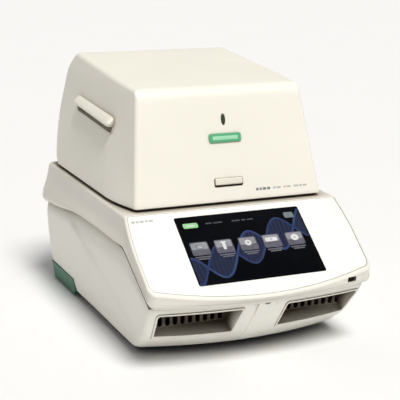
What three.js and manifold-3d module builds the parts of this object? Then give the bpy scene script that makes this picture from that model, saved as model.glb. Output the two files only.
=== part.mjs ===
// Bench-top real-time PCR thermal cycler, in millimetres, +Z up, front towards -Y.
// The base unit holds the sample block, its cooling and the electronics; the optics
// head on top slides back on two rails to uncover the block.
import * as THREE from "three";
import { mergeVertices } from "three/addons/utils/BufferGeometryUtils.js";
import Module from "manifold-3d";

const wasm = await Module();
wasm.setup();

// ---------------------------------------------------------------- driving dimensions
const WALL = 3.5; // plastic shell thickness
const GAP = 0.4; // clearance between neighbouring pieces
const HALF_WIDTH = 165; // half width of the base at its ridge
const TAIL_WIDTH = 167; // the same at the rear corners
const FRONT_Y = -230; // nose of the front bezel
const REAR_Y = 230; // ridge at the back
const TRAY_Z = 5; // underside of the bottom tray
const SHOULDER_Z = 184; // top of the base's rim
const RIDGE_Z = 149; // line where the upper cover meets the lower housing
const DECK_Z = 168; // sunken deck that carries the rails and the block
const LID_Z = 188; // lower edge of the optics head
const LID_TOP_FRONT = { y: -60, z: 336 };
const LID_TOP_REAR = { y: 190, z: 356 };
const LID_FRONT_Y = -102.5;
const LID_WALL = 3;
const PANEL_TOP_Y = -111.5; // where the flat rim turns into the sloping panel
const PANEL_SLOPE = THREE.MathUtils.degToRad(36.5);
const FASCIA_THICK = 3;
const SCREEN = { width: 181, height: 109, centreY: -164.3 };
const BLOCK = { width: 127, depth: 86, centreY: -38, bottom: 154, top: 172 };
const WELL = { pitch: 9, columns: 12, rows: 8, topR: 3.1, bottomR: 1.4, depth: 14 };
const RAIL = { x: 126, width: 8, height: 9, front: -60, rear: 182 };
const CARRIAGE = { y: 3, length: 100 };
const SCREW = { x: 106, z: 146, radius: 4, front: 2, rear: 172 };
const FAN = { size: 92, depth: 25, z: 76, y: 180, xs: [-88, 8] };
const VENT = { inner: 32, outerTop: 143, outerBottom: 137, bottom: 35, top: 76.5, backY: -162 };

const lidLean = Math.atan((LID_TOP_FRONT.y - LID_FRONT_Y) / (LID_TOP_FRONT.z - LID_Z));
const lidTopSlope = (LID_TOP_REAR.z - LID_TOP_FRONT.z) / (LID_TOP_REAR.y - LID_TOP_FRONT.y);
const panelZ = (y) => SHOULDER_Z + (y - PANEL_TOP_Y) * Math.tan(PANEL_SLOPE);

// ---------------------------------------------------------------- materials
const paint = (color, roughness, metalness = 0) =>
  new THREE.MeshStandardMaterial({ color, roughness, metalness });
const MAT = {
  cream: paint(0xe9e6da, 0.5),
  white: paint(0xf6f6f2, 0.35),
  green: paint(0x1f6b45, 0.45),
  badge: paint(0x4caf7a, 0.4),
  dark: paint(0x222222, 0.7),
  rubber: paint(0x151515, 0.9),
  screen: paint(0x05070c, 0.1),
  steel: paint(0x9a9ca0, 0.35, 1),
  aluminium: paint(0xb8babd, 0.4, 1),
  board: paint(0x1d5a34, 0.6),
  ceramic: paint(0xf0efe9, 0.6),
  lens: paint(0x39463a, 0.2),
};

// ---------------------------------------------------------------- solid helpers
const solid = (geometry) => {
  const bare = geometry.clone();
  bare.deleteAttribute("normal");
  bare.deleteAttribute("uv");
  const merged = mergeVertices(bare, 1e-4);
  return new wasm.Manifold(
    new wasm.Mesh({
      numProp: 3,
      vertProperties: new Float32Array(merged.attributes.position.array),
      triVerts: new Uint32Array(merged.index.array),
    }),
  );
};

const geometryOf = (made) => {
  const mesh = made.getMesh();
  const geometry = new THREE.BufferGeometry();
  geometry.setAttribute("position", new THREE.BufferAttribute(mesh.vertProperties, 3));
  geometry.setIndex(new THREE.BufferAttribute(mesh.triVerts, 1));
  geometry.computeVertexNormals();
  return geometry;
};

const cut = (body, ...tools) => tools.reduce((left, tool) => left.subtract(tool), body);
const join = (body, ...others) => others.reduce((sum, other) => sum.add(other), body);

// Box between two corners.
const box = (x0, x1, y0, y1, z0, z1) =>
  solid(
    new THREE.BoxGeometry(x1 - x0, y1 - y0, z1 - z0).translate(
      (x0 + x1) / 2,
      (y0 + y1) / 2,
      (z0 + z1) / 2,
    ),
  );

const AXIS_TURN = {
  x: (g) => g.rotateZ(-Math.PI / 2),
  y: (g) => g,
  z: (g) => g.rotateX(Math.PI / 2),
};
// Cylinder or cone along an axis, centred on its own middle.
const rod = (axis, radius, length, sides = 12, farRadius = radius) =>
  solid(AXIS_TURN[axis](new THREE.CylinderGeometry(farRadius, radius, length, sides)));

// Prism of a (y, z) outline, extruded along X from x0 to x1.
const sideProfile = (points, x0, x1) => {
  const shape = new THREE.Shape(points.map(([y, z]) => new THREE.Vector2(y, z)));
  const geometry = new THREE.ExtrudeGeometry(shape, { depth: x1 - x0, bevelEnabled: false });
  const basis = new THREE.Matrix4().makeBasis(
    new THREE.Vector3(0, 1, 0),
    new THREE.Vector3(0, 0, 1),
    new THREE.Vector3(1, 0, 0),
  );
  return solid(geometry.applyMatrix4(basis).translate(x0, 0, 0));
};

// Prism of an (x, z) outline, extruded along Y from y0 to y1.
const frontProfile = (points, y0, y1) => {
  const shape = new THREE.Shape(points.map(([x, z]) => new THREE.Vector2(x, z)));
  const geometry = new THREE.ExtrudeGeometry(shape, { depth: y1 - y0, bevelEnabled: false });
  return solid(geometry.rotateX(Math.PI / 2).translate(0, y1, 0));
};

// Value of a table of [z, value] rows at a height, straight between rows.
const at = (table, z) => {
  if (z <= table[0][0]) return table[0][1];
  for (let i = 1; i < table.length; i++) {
    const [z0, v0] = table[i - 1];
    const [z1, v1] = table[i];
    if (z <= z1) return v0 + ((v1 - v0) * (z - z0)) / (z1 - z0);
  }
  return table[table.length - 1][1];
};

// Closed skin through rings of points, with flat ends. Rings run anticlockwise from above.
const loft = (rings) => {
  const n = rings[0].length;
  const positions = rings.flat().flatMap((p) => [p.x, p.y, p.z]);
  const index = [];
  for (let k = 0; k + 1 < rings.length; k++) {
    for (let i = 0; i < n; i++) {
      const a = k * n + i;
      const b = k * n + ((i + 1) % n);
      index.push(a, b, b + n, a, b + n, a + n);
    }
  }
  const cap = (ring) =>
    THREE.ShapeUtils.triangulateShape(ring.map((p) => new THREE.Vector2(p.x, p.y)), []);
  const last = (rings.length - 1) * n;
  cap(rings[0]).forEach(([a, b, c]) => index.push(a, c, b));
  cap(rings[rings.length - 1]).forEach(([a, b, c]) => index.push(last + a, last + b, last + c));
  const geometry = new THREE.BufferGeometry();
  geometry.setAttribute("position", new THREE.Float32BufferAttribute(positions, 3));
  geometry.setIndex(index);
  return solid(geometry);
};

// Anticlockwise ring from its right half, listed from front centre to rear centre.
const mirrored = (half) => [
  ...half,
  ...half
    .filter((p) => p.x > 1e-6)
    .reverse()
    .map((p) => new THREE.Vector3(-p.x, p.y, p.z)),
];

// Quarter arc from the front of a corner round to its side, or from its side to the rear.
const cornerArc = (cx, cy, radius, from, steps) =>
  Array.from({ length: steps + 1 }, (_, i) => {
    const angle = from + (i / steps) * (Math.PI / 2);
    return [cx + radius * Math.cos(angle), cy + radius * Math.sin(angle)];
  });

// ---------------------------------------------------------------- base unit forms
// Each row of a table is [height, value].
const UPPER = {
  half: [[84, HALF_WIDTH], [RIDGE_Z, HALF_WIDTH], [SHOULDER_Z, 155]],
  tail: [[84, TAIL_WIDTH], [RIDGE_Z, TAIL_WIDTH], [SHOULDER_Z, 155]],
  waist: [[84, 164], [RIDGE_Z, 163], [SHOULDER_Z, 155]],
  nose: [[84, 160], [SHOULDER_Z, 157]],
  front: [[82, -220], [88, -226.5], [94, FRONT_Y], [108, FRONT_Y]],
  bow: [[82, 20], [SHOULDER_Z, 20]],
  rear: [[84, REAR_Y], [RIDGE_Z, REAR_Y], [SHOULDER_Z, 228]],
};
const LOWER = {
  half: [[0, 147.5], [12, 149], [28, 151], [50, 153.5], [80, 156.5], [100, 158], [121, 159.5], [150, 161]],
  tail: [[0, 150], [12, 151.5], [28, 153.5], [50, 156], [80, 159], [121, 161], [150, 162]],
  waist: [[0, 147], [12, 148.5], [50, 152.5], [100, 157], [150, 160.5]],
  nose: [[0, 146], [12, 148], [50, 152.5], [100, 157.5]],
  front: [[0, -148], [12, -158], [35, -182], [76, -214], [86, -221], [100, -222]],
  bow: [[0, 26], [12, 26], [35, 17], [76, 17], [100, 18]],
  rear: [[0, 221], [28, 224], [60, 227], [110, 228], [150, 228]],
};
const FRONT_CORNER = 14;
const REAR_CORNER = 9;

// Horizontal outline of the base at height z, taken in by inset.
const baseRing = (form, z, inset = 0) => {
  const half = at(form.half, z) - inset;
  const tail = at(form.tail, z) - inset;
  const waist = at(form.waist, z) - inset;
  const nose = at(form.nose, z) - inset;
  const front = at(form.front, z) + inset;
  const rear = at(form.rear, z) - inset;
  const bow = at(form.bow, z);
  const flatX = nose - FRONT_CORNER;
  const bowAt = (x) => front + bow * (x / nose) ** 2;
  const points = [0, 0.3, 0.6, 0.85].map((s) => [flatX * s, bowAt(flatX * s)]);
  points.push(
    ...cornerArc(flatX, bowAt(flatX) + FRONT_CORNER, FRONT_CORNER, -Math.PI / 2, 3),
    [waist, -100],
    [half, 20],
    ...cornerArc(tail - REAR_CORNER, rear - REAR_CORNER, REAR_CORNER, 0, 3),
    [0, rear],
  );
  return mirrored(points.map(([x, y]) => new THREE.Vector3(x, y, z)));
};

const baseForm = (form, heights, inset = 0) => loft(heights.map((z) => baseRing(form, z, inset)));

// Line in side view where the upper cover ends, lowered by drop.
const ridgeLine = (drop = 0) => [
  [260, 134 - drop],
  [188, 141 - drop],
  [88, 147 - drop],
  [0, RIDGE_Z - drop],
  [-121, RIDGE_Z - drop],
  [-206, 96 - drop],
  [-250, 75 - drop],
];
// Half space above the ridge line and under the rim and the panel, lowered by sink.
const capProfile = (sink, drop = 0) =>
  sideProfile(
    [
      ...ridgeLine(drop),
      [-250, panelZ(-250) - sink],
      [PANEL_TOP_Y, SHOULDER_Z - sink],
      [260, SHOULDER_Z - sink],
    ],
    -200,
    200,
  );
const UPPER_HEIGHTS = [82, 88, 94, RIDGE_Z, 186];

// ---------------------------------------------------------------- base unit shells
const upperCover = () => {
  const outer = baseForm(UPPER, UPPER_HEIGHTS).intersect(capProfile(0));
  const underPanel = FASCIA_THICK + WALL + 1;
  const deckUnder = DECK_Z - WALL;
  const hollow = baseForm(UPPER, [80, 94, RIDGE_Z, 186], WALL).intersect(
    sideProfile(
      [
        [260, 60],
        [260, deckUnder],
        [PANEL_TOP_Y + 20, deckUnder],
        [PANEL_TOP_Y - 4, deckUnder],
        [-250, panelZ(-250) - underPanel],
        [-250, 60],
      ],
      -200,
      200,
    ),
  );
  const deckPocket = lidPrism(POCKET_INSET, DECK_Z, 200);
  const blockHole = box(-72, 72, BLOCK.centreY - 51, BLOCK.centreY + 51, 150, 180);
  const armSlot = box(SCREW.x - 8, SCREW.x + 8, 4, 166, 150, 180);
  const fasciaSeat = fasciaForm(FASCIA_THICK + GAP, 3.1);
  const lcdWindow = panelBox(190, 118, -30, 10);
  const usbHole = usbPlaced(box(-8.4, 8.4, -4.4, 4.4, -24, 10));
  return cut(outer, hollow, deckPocket, blockHole, armSlot, fasciaSeat, lcdWindow, usbHole);
};

// Solid in the panel's own frame: x across, y up the slope, z out of the panel.
const onPanel = (made, y = SCREEN.centreY) => {
  const place = new THREE.Object3D();
  place.rotation.x = PANEL_SLOPE;
  place.position.set(0, y, panelZ(y));
  place.updateMatrix();
  return made.transform(place.matrix.elements);
};
const panelBox = (width, height, z0, z1) =>
  onPanel(box(-width / 2, width / 2, -height / 2, height / 2, z0, z1));

// The fascia follows the cover's outline, taken in by inset, down to depth under the panel.
const fasciaForm = (depth, inset) =>
  baseForm(UPPER, [88, 94, RIDGE_Z, 190], inset).intersect(
    sideProfile(
      [
        [-250, panelZ(-250) - depth],
        [PANEL_TOP_Y - 1 + (inset > 3.2 ? 0 : GAP), SHOULDER_Z - depth],
        [PANEL_TOP_Y - 1 + (inset > 3.2 ? 0 : GAP), panelZ(PANEL_TOP_Y)],
        [-250, panelZ(-250)],
      ],
      -200,
      200,
    ),
  );

// Foam ring that keeps light out of the gap under the optics head.
const POCKET_INSET = 11;
const lightSeal = () =>
  cut(lidPrism(5.5, SHOULDER_Z + 0.3, LID_Z - 0.6), lidPrism(POCKET_INSET - 0.6, 180, 200));

const frontFascia = () =>
  cut(fasciaForm(FASCIA_THICK, 3.5), panelBox(SCREEN.width + 1, SCREEN.height + 1, -10, 10));

// The front data port sits level in the bezel, under the panel's right corner.
const USB = { x: 124, y: -216, z: 97 };
const usbPlaced = (made) => {
  const place = new THREE.Object3D();
  place.rotation.x = Math.PI / 2 - 0.25;
  place.rotation.order = "ZXY";
  place.rotation.z = 0.2;
  place.position.set(USB.x, USB.y, USB.z);
  place.updateMatrix();
  return made.transform(place.matrix.elements);
};
const usbPort = () =>
  usbPlaced(cut(box(-7.9, 7.9, -3.9, 3.9, -18, 1.2), box(-6.6, 6.6, -2.6, 2.6, -14, 5)));

const ventOutline = (side, grow) => {
  const inner = VENT.inner - grow;
  const points = [
    [inner + 1.5, VENT.bottom - grow],
    [VENT.outerBottom + grow, VENT.bottom - grow],
    [VENT.outerTop + grow, VENT.top + grow],
    [inner, VENT.top + grow],
  ];
  return side > 0 ? points : points.map(([x, z]) => [-x, z]).reverse();
};

const HOUSING_FOOT = [[-260, 12], [109, 12], [115, 28], [260, 28]]; // lower edge in side view
const lowerHousing = () => {
  const heights = [8, 28, 35, 60, 76, 100, 121, 150];
  const outer = baseForm(LOWER, heights).intersect(
    sideProfile([...HOUSING_FOOT, ...ridgeLine(GAP)], -200, 200),
  );
  const hollow = baseForm(LOWER, [0, 28, 35, 60, 76, 100, 121, 160], WALL);
  const rearWindow = box(-142, 142, 200, 240, 30, 130);
  const vents = [-1, 1].map((side) => frontProfile(ventOutline(side, 2.9), -260, -140));
  const usbHole = usbPlaced(box(-8.4, 8.4, -4.4, 4.4, -24, 10));
  return cut(outer, hollow, rearWindow, usbHole, ...vents);
};

// Tub set into a front opening: raised rim, sloping floor and a slotted back wall.
const intakeGrille = (side) => {
  const slots = 10;
  const mouth = frontProfile(ventOutline(side, 2.5), -260, VENT.backY + 3);
  const face = baseForm(LOWER, [20, 35, 76, 88], -1.5);
  const floor = [
    [-270, 20],
    [-186, VENT.bottom],
    [VENT.backY, 47],
    [VENT.backY, 90],
    [-270, 90],
  ];
  const space = frontProfile(ventOutline(side, 0), -260, VENT.backY).intersect(
    sideProfile(floor, -200, 200),
  );
  const slotPitch = (VENT.outerTop - VENT.inner - 4) / slots;
  const holes = Array.from({ length: slots }, (_, i) => {
    const x = side * (VENT.inner + 3 + slotPitch * (i + 0.5));
    return box(x - 3.1, x + 3.1, VENT.backY - 1, VENT.backY + 8, 47.3, 62);
  });
  return cut(mouth.intersect(face), space, ...holes);
};

const rearSkirt = () => {
  const wrap = sideProfile(
    [[118, 4], [235, 4], [235, 28 - GAP], [115.3, 28 - GAP], [110, 13]],
    -200,
    200,
  );
  return cut(baseForm(LOWER, [0, 30], -1.5), baseForm(LOWER, [-5, 40], 4)).intersect(wrap);
};

const baseTray = () =>
  cut(baseForm(LOWER, [TRAY_Z, 20], 6), baseForm(LOWER, [TRAY_Z + 3, 25], 8));

const rearPanel = () => {
  const y0 = 217;
  const plate = box(-141, 141, y0, y0 + 3, 31, 129);
  const slots = FAN.xs.flatMap((x) =>
    Array.from({ length: 9 }, (_, i) => {
      const z = FAN.z + (i - 4) * 9;
      const half = Math.sqrt(42 ** 2 - ((i - 4) * 9) ** 2);
      return box(x - half, x + half, y0 - 5, y0 + 5, z - 2.4, z + 2.4);
    }),
  );
  const sockets = REAR_PORTS.map((p) =>
    box(p.x - p.w / 2 - GAP, p.x + p.w / 2 + GAP, y0 - 5, y0 + 5, p.z - p.h / 2 - GAP, p.z + p.h / 2 + GAP),
  );
  return cut(plate, ...slots, ...sockets);
};

// ---------------------------------------------------------------- rear connectors
const REAR_PORTS = [
  { name: "power_inlet", x: 100, z: 66, w: 48, h: 54, depth: 30 },
  { name: "network_port", x: 84, z: 118, w: 17, h: 15, depth: 20 },
];
const PORT_FACE_Y = 221.5;
const shellPort = (w, h, depth, wall) =>
  cut(
    box(-w / 2, w / 2, -depth, 0, -h / 2, h / 2),
    box(-w / 2 + wall, w / 2 - wall, -depth + wall, 5, -h / 2 + wall, h / 2 - wall),
  );

// Inlet module: socket at the lower right, fuse drawer beside it, rocker switch above.
const SOCKET = { x: 6, z: -13 };
const ROCKER_Z = 13;
const FUSE = { x: -16.5, z: -13, w: 11, h: 21, depth: 20 };
const powerInlet = () => {
  const body = box(-24, 24, -30, 0, -27, 27);
  const mouth = box(SOCKET.x - 12.5, SOCKET.x + 12.5, -18, 5, SOCKET.z - 9, SOCKET.z + 9);
  const drawer = box(
    FUSE.x - FUSE.w / 2 - GAP, FUSE.x + FUSE.w / 2 + GAP, -FUSE.depth - 1, 5,
    FUSE.z - FUSE.h / 2 - GAP, FUSE.z + FUSE.h / 2 + GAP,
  );
  const rockerWell = box(-13.2, 13.2, -20, 5, ROCKER_Z - 9.4, ROCKER_Z + 9.4);
  const pins = [[-7, -2.5], [7, -2.5], [0, 2.5]].map(([x, z]) =>
    box(SOCKET.x + x - 1, SOCKET.x + x + 1, -20, -3, SOCKET.z + z - 2, SOCKET.z + z + 2),
  );
  return join(cut(body, mouth, drawer, rockerWell), ...pins);
};

const fuseDrawer = () =>
  join(
    box(-FUSE.w / 2, FUSE.w / 2, -FUSE.depth, 0, -FUSE.h / 2, FUSE.h / 2),
    box(-FUSE.w / 2 + 2, FUSE.w / 2 - 2, -1, 2, -2, 2),
  );

const ROCKER_TILT = THREE.MathUtils.degToRad(8);
const powerRocker = () =>
  sideProfile([[-9, -4], [-9, 4], [0.5, 8.4], [3, 8.6], [1.2, 0], [3, -8.6], [0.5, -8.4]], -12.4, 12.4);

// ---------------------------------------------------------------- cooling and sample block
const heatSink = () => {
  const fins = 14;
  const half = 66;
  const pitch = (2 * half - 3) / (fins - 1);
  const outline = [[-half, 0]];
  for (let i = 0; i < fins; i++) {
    const x = -half + i * pitch;
    outline.push([x, -60], [x + 3, -60]);
    if (i < fins - 1) outline.push([x + 3, -12], [x + pitch, -12]);
  }
  outline.push([half, 0]);
  const clean = outline.slice(1).map(([x, z]) => [x, z]);
  clean.unshift([-half, 0]);
  return frontProfile(clean, -50, 50);
};

const sampleBlock = () => {
  const height = BLOCK.top - BLOCK.bottom;
  const body = box(-BLOCK.width / 2, BLOCK.width / 2, -BLOCK.depth / 2, BLOCK.depth / 2, 0, height);
  const well = rod("z", WELL.bottomR, WELL.depth, 6, WELL.topR);
  const wells = [];
  for (let c = 0; c < WELL.columns; c++) {
    for (let r = 0; r < WELL.rows; r++) {
      wells.push(
        well.translate([
          (c - (WELL.columns - 1) / 2) * WELL.pitch,
          (r - (WELL.rows - 1) / 2) * WELL.pitch,
          height - WELL.depth / 2 + 0.01,
        ]),
      );
    }
  }
  return body.subtract(wasm.Manifold.union(wells));
};

const blockFrame = () =>
  cut(box(-71.4, 71.4, -50.4, 50.4, 0, 9), box(-64.5, 64.5, -44, 44, -2, 20));

const fanFrame = () => {
  const s = FAN.size / 2;
  const tube = cut(
    box(-s, s, 0, FAN.depth, -s, s),
    rod("y", 42, 60, 24).translate([0, FAN.depth / 2, 0]),
  );
  const struts = [0, 1].map((k) =>
    box(-43, 43, FAN.depth - 4, FAN.depth, -2.5, 2.5).rotate([0, 45 + 90 * k, 0]),
  );
  return join(tube, rod("y", 18, 4, 16).translate([0, FAN.depth - 2, 0]), ...struts);
};

const fanRotor = () => {
  const hub = rod("y", 18, 18, 14).translate([0, 10, 0]);
  const blades = Array.from({ length: 7 }, (_, i) =>
    box(-1.2, 1.2, 3, 18, 10, 40).rotate([0, 0, 28]).rotate([0, (360 / 7) * i, 0]),
  );
  return join(hub, ...blades).intersect(rod("y", 40, 60, 28));
};

// ---------------------------------------------------------------- optics head forms
const LID = {
  front: [[LID_Z, LID_FRONT_Y], [360, LID_FRONT_Y + (360 - LID_Z) * Math.tan(lidLean)]],
  nose: [[LID_Z, 138], [336, 120.5]],
  creaseY: [[LID_Z, -50], [237, -14], [282, 0], [335, 5]],
  crease: [[LID_Z, 150.5], [282, 133], [322, 127.5], [345, 120.5]],
  half: [[LID_Z, 151], [282, 135.5], [322, 129.5], [345, 120.5]],
  rear: [[LID_Z, 205], [200, 216], [225, 224], [250, 229], [275, 229], [300, 224], [320, 220], [340, 214], [356, 200]],
};
const lidTop = (y) => LID_TOP_FRONT.z + (y - LID_TOP_FRONT.y) * lidTopSlope;

// Ring of the head: level at height z, or depth under the sloping top when z is null.
const lidRing = (z, depth, inset) => {
  const height = (y) => (z === null ? lidTop(y) - depth : z);
  const zFront = height(LID_TOP_FRONT.y);
  const zRear = height(LID_TOP_REAR.y);
  const zMid = height(40);
  const front = at(LID.front, zFront) + inset;
  const nose = at(LID.nose, zFront) - inset;
  const rear = at(LID.rear, zRear) - inset;
  const half = at(LID.half, zRear - 8) - inset;
  const frontR = Math.max(2, 9 - Math.max(0, inset));
  const rearR = Math.max(4, 10 - Math.max(0, inset));
  const points = [
    [0, front],
    ...cornerArc(nose - frontR, front + frontR, frontR, -Math.PI / 2, 2),
    [at(LID.crease, zMid) - inset, at(LID.creaseY, zMid)],
    ...cornerArc(half - rearR, rear - rearR, rearR, 0, 3),
    [0, rear],
  ];
  return mirrored(points.map(([x, y]) => new THREE.Vector3(x, y, height(y))));
};

// Upright prism of the head's lower outline, taken in by inset.
const lidPrism = (inset, z0, z1) =>
  loft([z0, z1].map((z) => lidRing(LID_Z, 0, inset).map((p) => new THREE.Vector3(p.x, p.y, z))));

const lidForm = (bottom, wall) => {
  const levels = [bottom, 200, 225, 250, 275, 296].map((z) => lidRing(z, 0, wall));
  const crown = [
    [26, 0],
    [11, 1],
    [3.5, 6],
    [0, 15],
  ].map(([depth, inset]) => lidRing(null, depth + wall, inset + wall));
  return loft([...levels, ...crown]);
};

const GRIP = { y: 66, length: 148, z: 284.5, height: 24, reach: 26 };
const gripSlope = THREE.MathUtils.radToDeg(Math.atan(lidTopSlope)) * 0.75;
const atGrip = (made, side) => {
  const turned = made.rotate([gripSlope, 0, 0]);
  const placed = turned.translate([137, GRIP.y, GRIP.z]);
  return side > 0 ? placed : placed.mirror([1, 0, 0]);
};
const gripOpening = (side, grow) =>
  atGrip(
    box(-GRIP.reach - grow, 20, -GRIP.length / 2 - grow, GRIP.length / 2 + grow,
      -GRIP.height / 2 - grow, GRIP.height / 2 + grow),
    side,
  );

// Cup behind the side opening, with a bar over its upper half for the fingers to hook.
const gripCup = (side) => {
  const half = GRIP.length / 2 - 0.5;
  const high = GRIP.height / 2 - 0.5;
  const cup = cut(
    box(-GRIP.reach, 5, -half, half, -high, high),
    box(-GRIP.reach + 2, 20, -half + 2, half - 2, -high + 2, high - 2),
  );
  const bar = frontProfile([[-3, 0.5], [3, -1], [6, 2], [6.5, 6], [3.5, high], [-3, high]], -half, half);
  return atGrip(join(cup, bar), side).intersect(lidForm(LID_Z, -5));
};

const lidShell = () => {
  const openings = [-1, 1].map((side) => gripOpening(side, 0));
  const buttonHole = onLidFace(box(-20.6, 20.6, -6.6, 6.6, -12, 12), BUTTON_UP);
  const lensHole = onLidFace(rod("z", 4, 30, 12).scale([0.8, 2.1, 1]), LENS_UP);
  return cut(lidForm(LID_Z, 0), lidForm(LID_Z - 5, LID_WALL), ...openings, buttonHole, lensHole);
};

// Solid in the front face's own frame: x across, y up the face, z out of it.
const BUTTON_UP = 26;
const BADGE_UP = 86;
const LENS_UP = 111;
const faceTurn = Math.PI / 2 - lidLean;
const onLidFace = (made, up) => {
  const place = new THREE.Object3D();
  place.rotation.x = faceTurn;
  place.position.set(0, LID_FRONT_Y + up * Math.sin(lidLean), LID_Z + up * Math.cos(lidLean));
  place.updateMatrix();
  return made.transform(place.matrix.elements);
};

const pill = (width, height, depth, steps) => {
  const r = height / 2;
  const shape = new THREE.Shape();
  shape.absarc(width / 2 - r, 0, r, -Math.PI / 2, Math.PI / 2);
  shape.absarc(-width / 2 + r, 0, r, Math.PI / 2, (3 * Math.PI) / 2);
  return solid(
    new THREE.ExtrudeGeometry(shape, { depth, bevelEnabled: false, curveSegments: steps }),
  );
};

// ---------------------------------------------------------------- optics head inside
const lidChassis = () => {
  const plate = loft([lidRing(191, 0, 8), lidRing(195, 0, 8)]);
  const heaterHole = box(-68.5, 68.5, BLOCK.centreY - 49, BLOCK.centreY + 49, 180, 200);
  return cut(plate, heaterHole);
};

const carriage = () =>
  cut(
    box(-11, 11, -CARRIAGE.length / 2, CARRIAGE.length / 2, 0, 18.5),
    box(-RAIL.width / 2 - GAP, RAIL.width / 2 + GAP, -60, 60, -5, RAIL.height - 4 + GAP),
  );

const nutArm = () =>
  cut(
    join(box(-5.5, 5.5, -10, 10, -10, 44.6), box(-16, 7, -12, 12, 40.6, 44.6)),
    rod("y", SCREW.radius + 0.5, 60, 12),
  );

const opticsBracket = (side) =>
  join(
    box(0, 4, -46, 50, 0, 56),
    side > 0 ? box(4, 16, -46, 50, 0, 4) : box(-12, 0, -46, 50, 0, 4),
  );

const SHAFT = { front: -62, rear: 12, z: 236, radius: 4, span: 98 };
const HEATER = { z: 179, thick: 5, width: 126, depth: 88 };
const TRAVEL_SCREW_Y = -25;
const shuttle = () => {
  const body = join(box(-17, 17, -74, 24, 208, 246), box(-12, 12, -70, -6, 201, 210));
  const bores = [SHAFT.front, SHAFT.rear].map((y) =>
    rod("x", SHAFT.radius + 0.5, 60, 12).translate([0, y, SHAFT.z]),
  );
  const screwBore = rod("x", 3.6, 60, 12).translate([0, TRAVEL_SCREW_Y, SHAFT.z]);
  return cut(body, ...bores, screwBore);
};

const controlBoard = (width, length, chips) =>
  join(
    box(-width / 2, width / 2, -length / 2, length / 2, 0, 2),
    ...chips.map(([x, y, w, l, h]) => box(x - w / 2, x + w / 2, y - l / 2, y + l / 2, 1.5, h)),
  );

// ---------------------------------------------------------------- assembly
const cycler = new THREE.Group();
const add = (parent, name, made, material, position = [0, 0, 0], rotation = [0, 0, 0]) => {
  const mesh = new THREE.Mesh(geometryOf(made), material);
  mesh.name = name;
  mesh.position.set(...position);
  mesh.rotation.set(...rotation);
  parent.add(mesh);
  return mesh;
};
const group = (parent, position = [0, 0, 0], rotation = [0, 0, 0]) => {
  const made = new THREE.Group();
  made.position.set(...position);
  made.rotation.set(...rotation);
  parent.add(made);
  return made;
};

const buildBase = (base) => {
  add(base, "base_tray", baseTray(), MAT.dark);
  const feet = { front_left: [-118, -100], front_right: [118, -100], rear_left: [-132, 135], rear_right: [132, 135] };
  for (const [place, [x, y]] of Object.entries(feet)) {
    const foot = rod("z", 10, TRAY_Z - 0.3, 16, 12);
    add(base, `foot_${place}`, foot, MAT.rubber, [x, y, (TRAY_Z - 0.3) / 2]);
  }
  add(base, "rear_skirt", rearSkirt(), MAT.green);
  add(base, "lower_housing", lowerHousing(), MAT.cream);
  add(base, "upper_cover", upperCover(), MAT.cream);
  add(base, "light_seal", lightSeal(), MAT.dark);
  add(base, "front_fascia", frontFascia(), MAT.white);
  add(base, "intake_grille_left", intakeGrille(-1), MAT.cream);
  add(base, "intake_grille_right", intakeGrille(1), MAT.cream);
  add(base, "usb_port_front", usbPort(), MAT.dark);
  add(base, "rear_panel", rearPanel(), MAT.dark);

  const panel = group(base, [0, SCREEN.centreY, panelZ(SCREEN.centreY)], [PANEL_SLOPE, 0, 0]);
  const glassZ = -FASCIA_THICK / 2 + 0.3;
  const glass = box(-SCREEN.width / 2, SCREEN.width / 2, -SCREEN.height / 2, SCREEN.height / 2, -1.3, 1.2);
  add(panel, "touch_glass", glass, MAT.screen, [0, 0, glassZ]);
  add(panel, "display_module", box(-94, 94, -58, 58, -14, -4), MAT.steel);
};

const buildRear = (base) => {
  FAN.xs.forEach((x, i) => {
    const side = ["left", "right"][i];
    add(base, `fan_frame_${side}`, fanFrame(), MAT.dark, [x, FAN.y, FAN.z]);
    add(base, `fan_rotor_${side}`, fanRotor(), MAT.dark, [x, FAN.y, FAN.z]);
  });
  const port = (name) => REAR_PORTS.find((p) => p.name === name);
  const placed = (p) => [p.x, PORT_FACE_Y, p.z];
  const inlet = port("power_inlet");
  add(base, "power_inlet", powerInlet(), MAT.dark, placed(inlet));
  add(base, "fuse_drawer", fuseDrawer(), MAT.dark, [inlet.x + FUSE.x, PORT_FACE_Y, inlet.z + FUSE.z]);
  add(base, "power_rocker", powerRocker(), MAT.rubber, [inlet.x, PORT_FACE_Y - 2, inlet.z + ROCKER_Z], [ROCKER_TILT, 0, 0]);
  const network = port("network_port");
  add(base, "network_port", shellPort(network.w, network.h, network.depth, 1.8), MAT.steel, placed(network));
};

const buildCooling = (base) => {
  const cooling = group(base, [0, BLOCK.centreY, 0]);
  const moduleTop = BLOCK.bottom - GAP;
  const moduleBottom = moduleTop - 4;
  [-1, 0, 1].forEach((column) => {
    [-1, 1].forEach((row) => {
      const number = (column + 1) * 2 + (row + 1) / 2 + 1;
      const cell = box(-20, 20, -20, 20, 0, 4);
      add(cooling, `peltier_${number}`, cell, MAT.ceramic, [column * 41.5, row * 21, moduleBottom]);
    });
  });
  add(cooling, "heat_sink", heatSink(), MAT.aluminium, [0, 0, moduleBottom - GAP]);
  add(cooling, "sample_block", sampleBlock(), MAT.aluminium, [0, 0, BLOCK.bottom]);
  add(cooling, "block_frame", blockFrame(), MAT.white, [0, 0, 166]);
};

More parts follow.
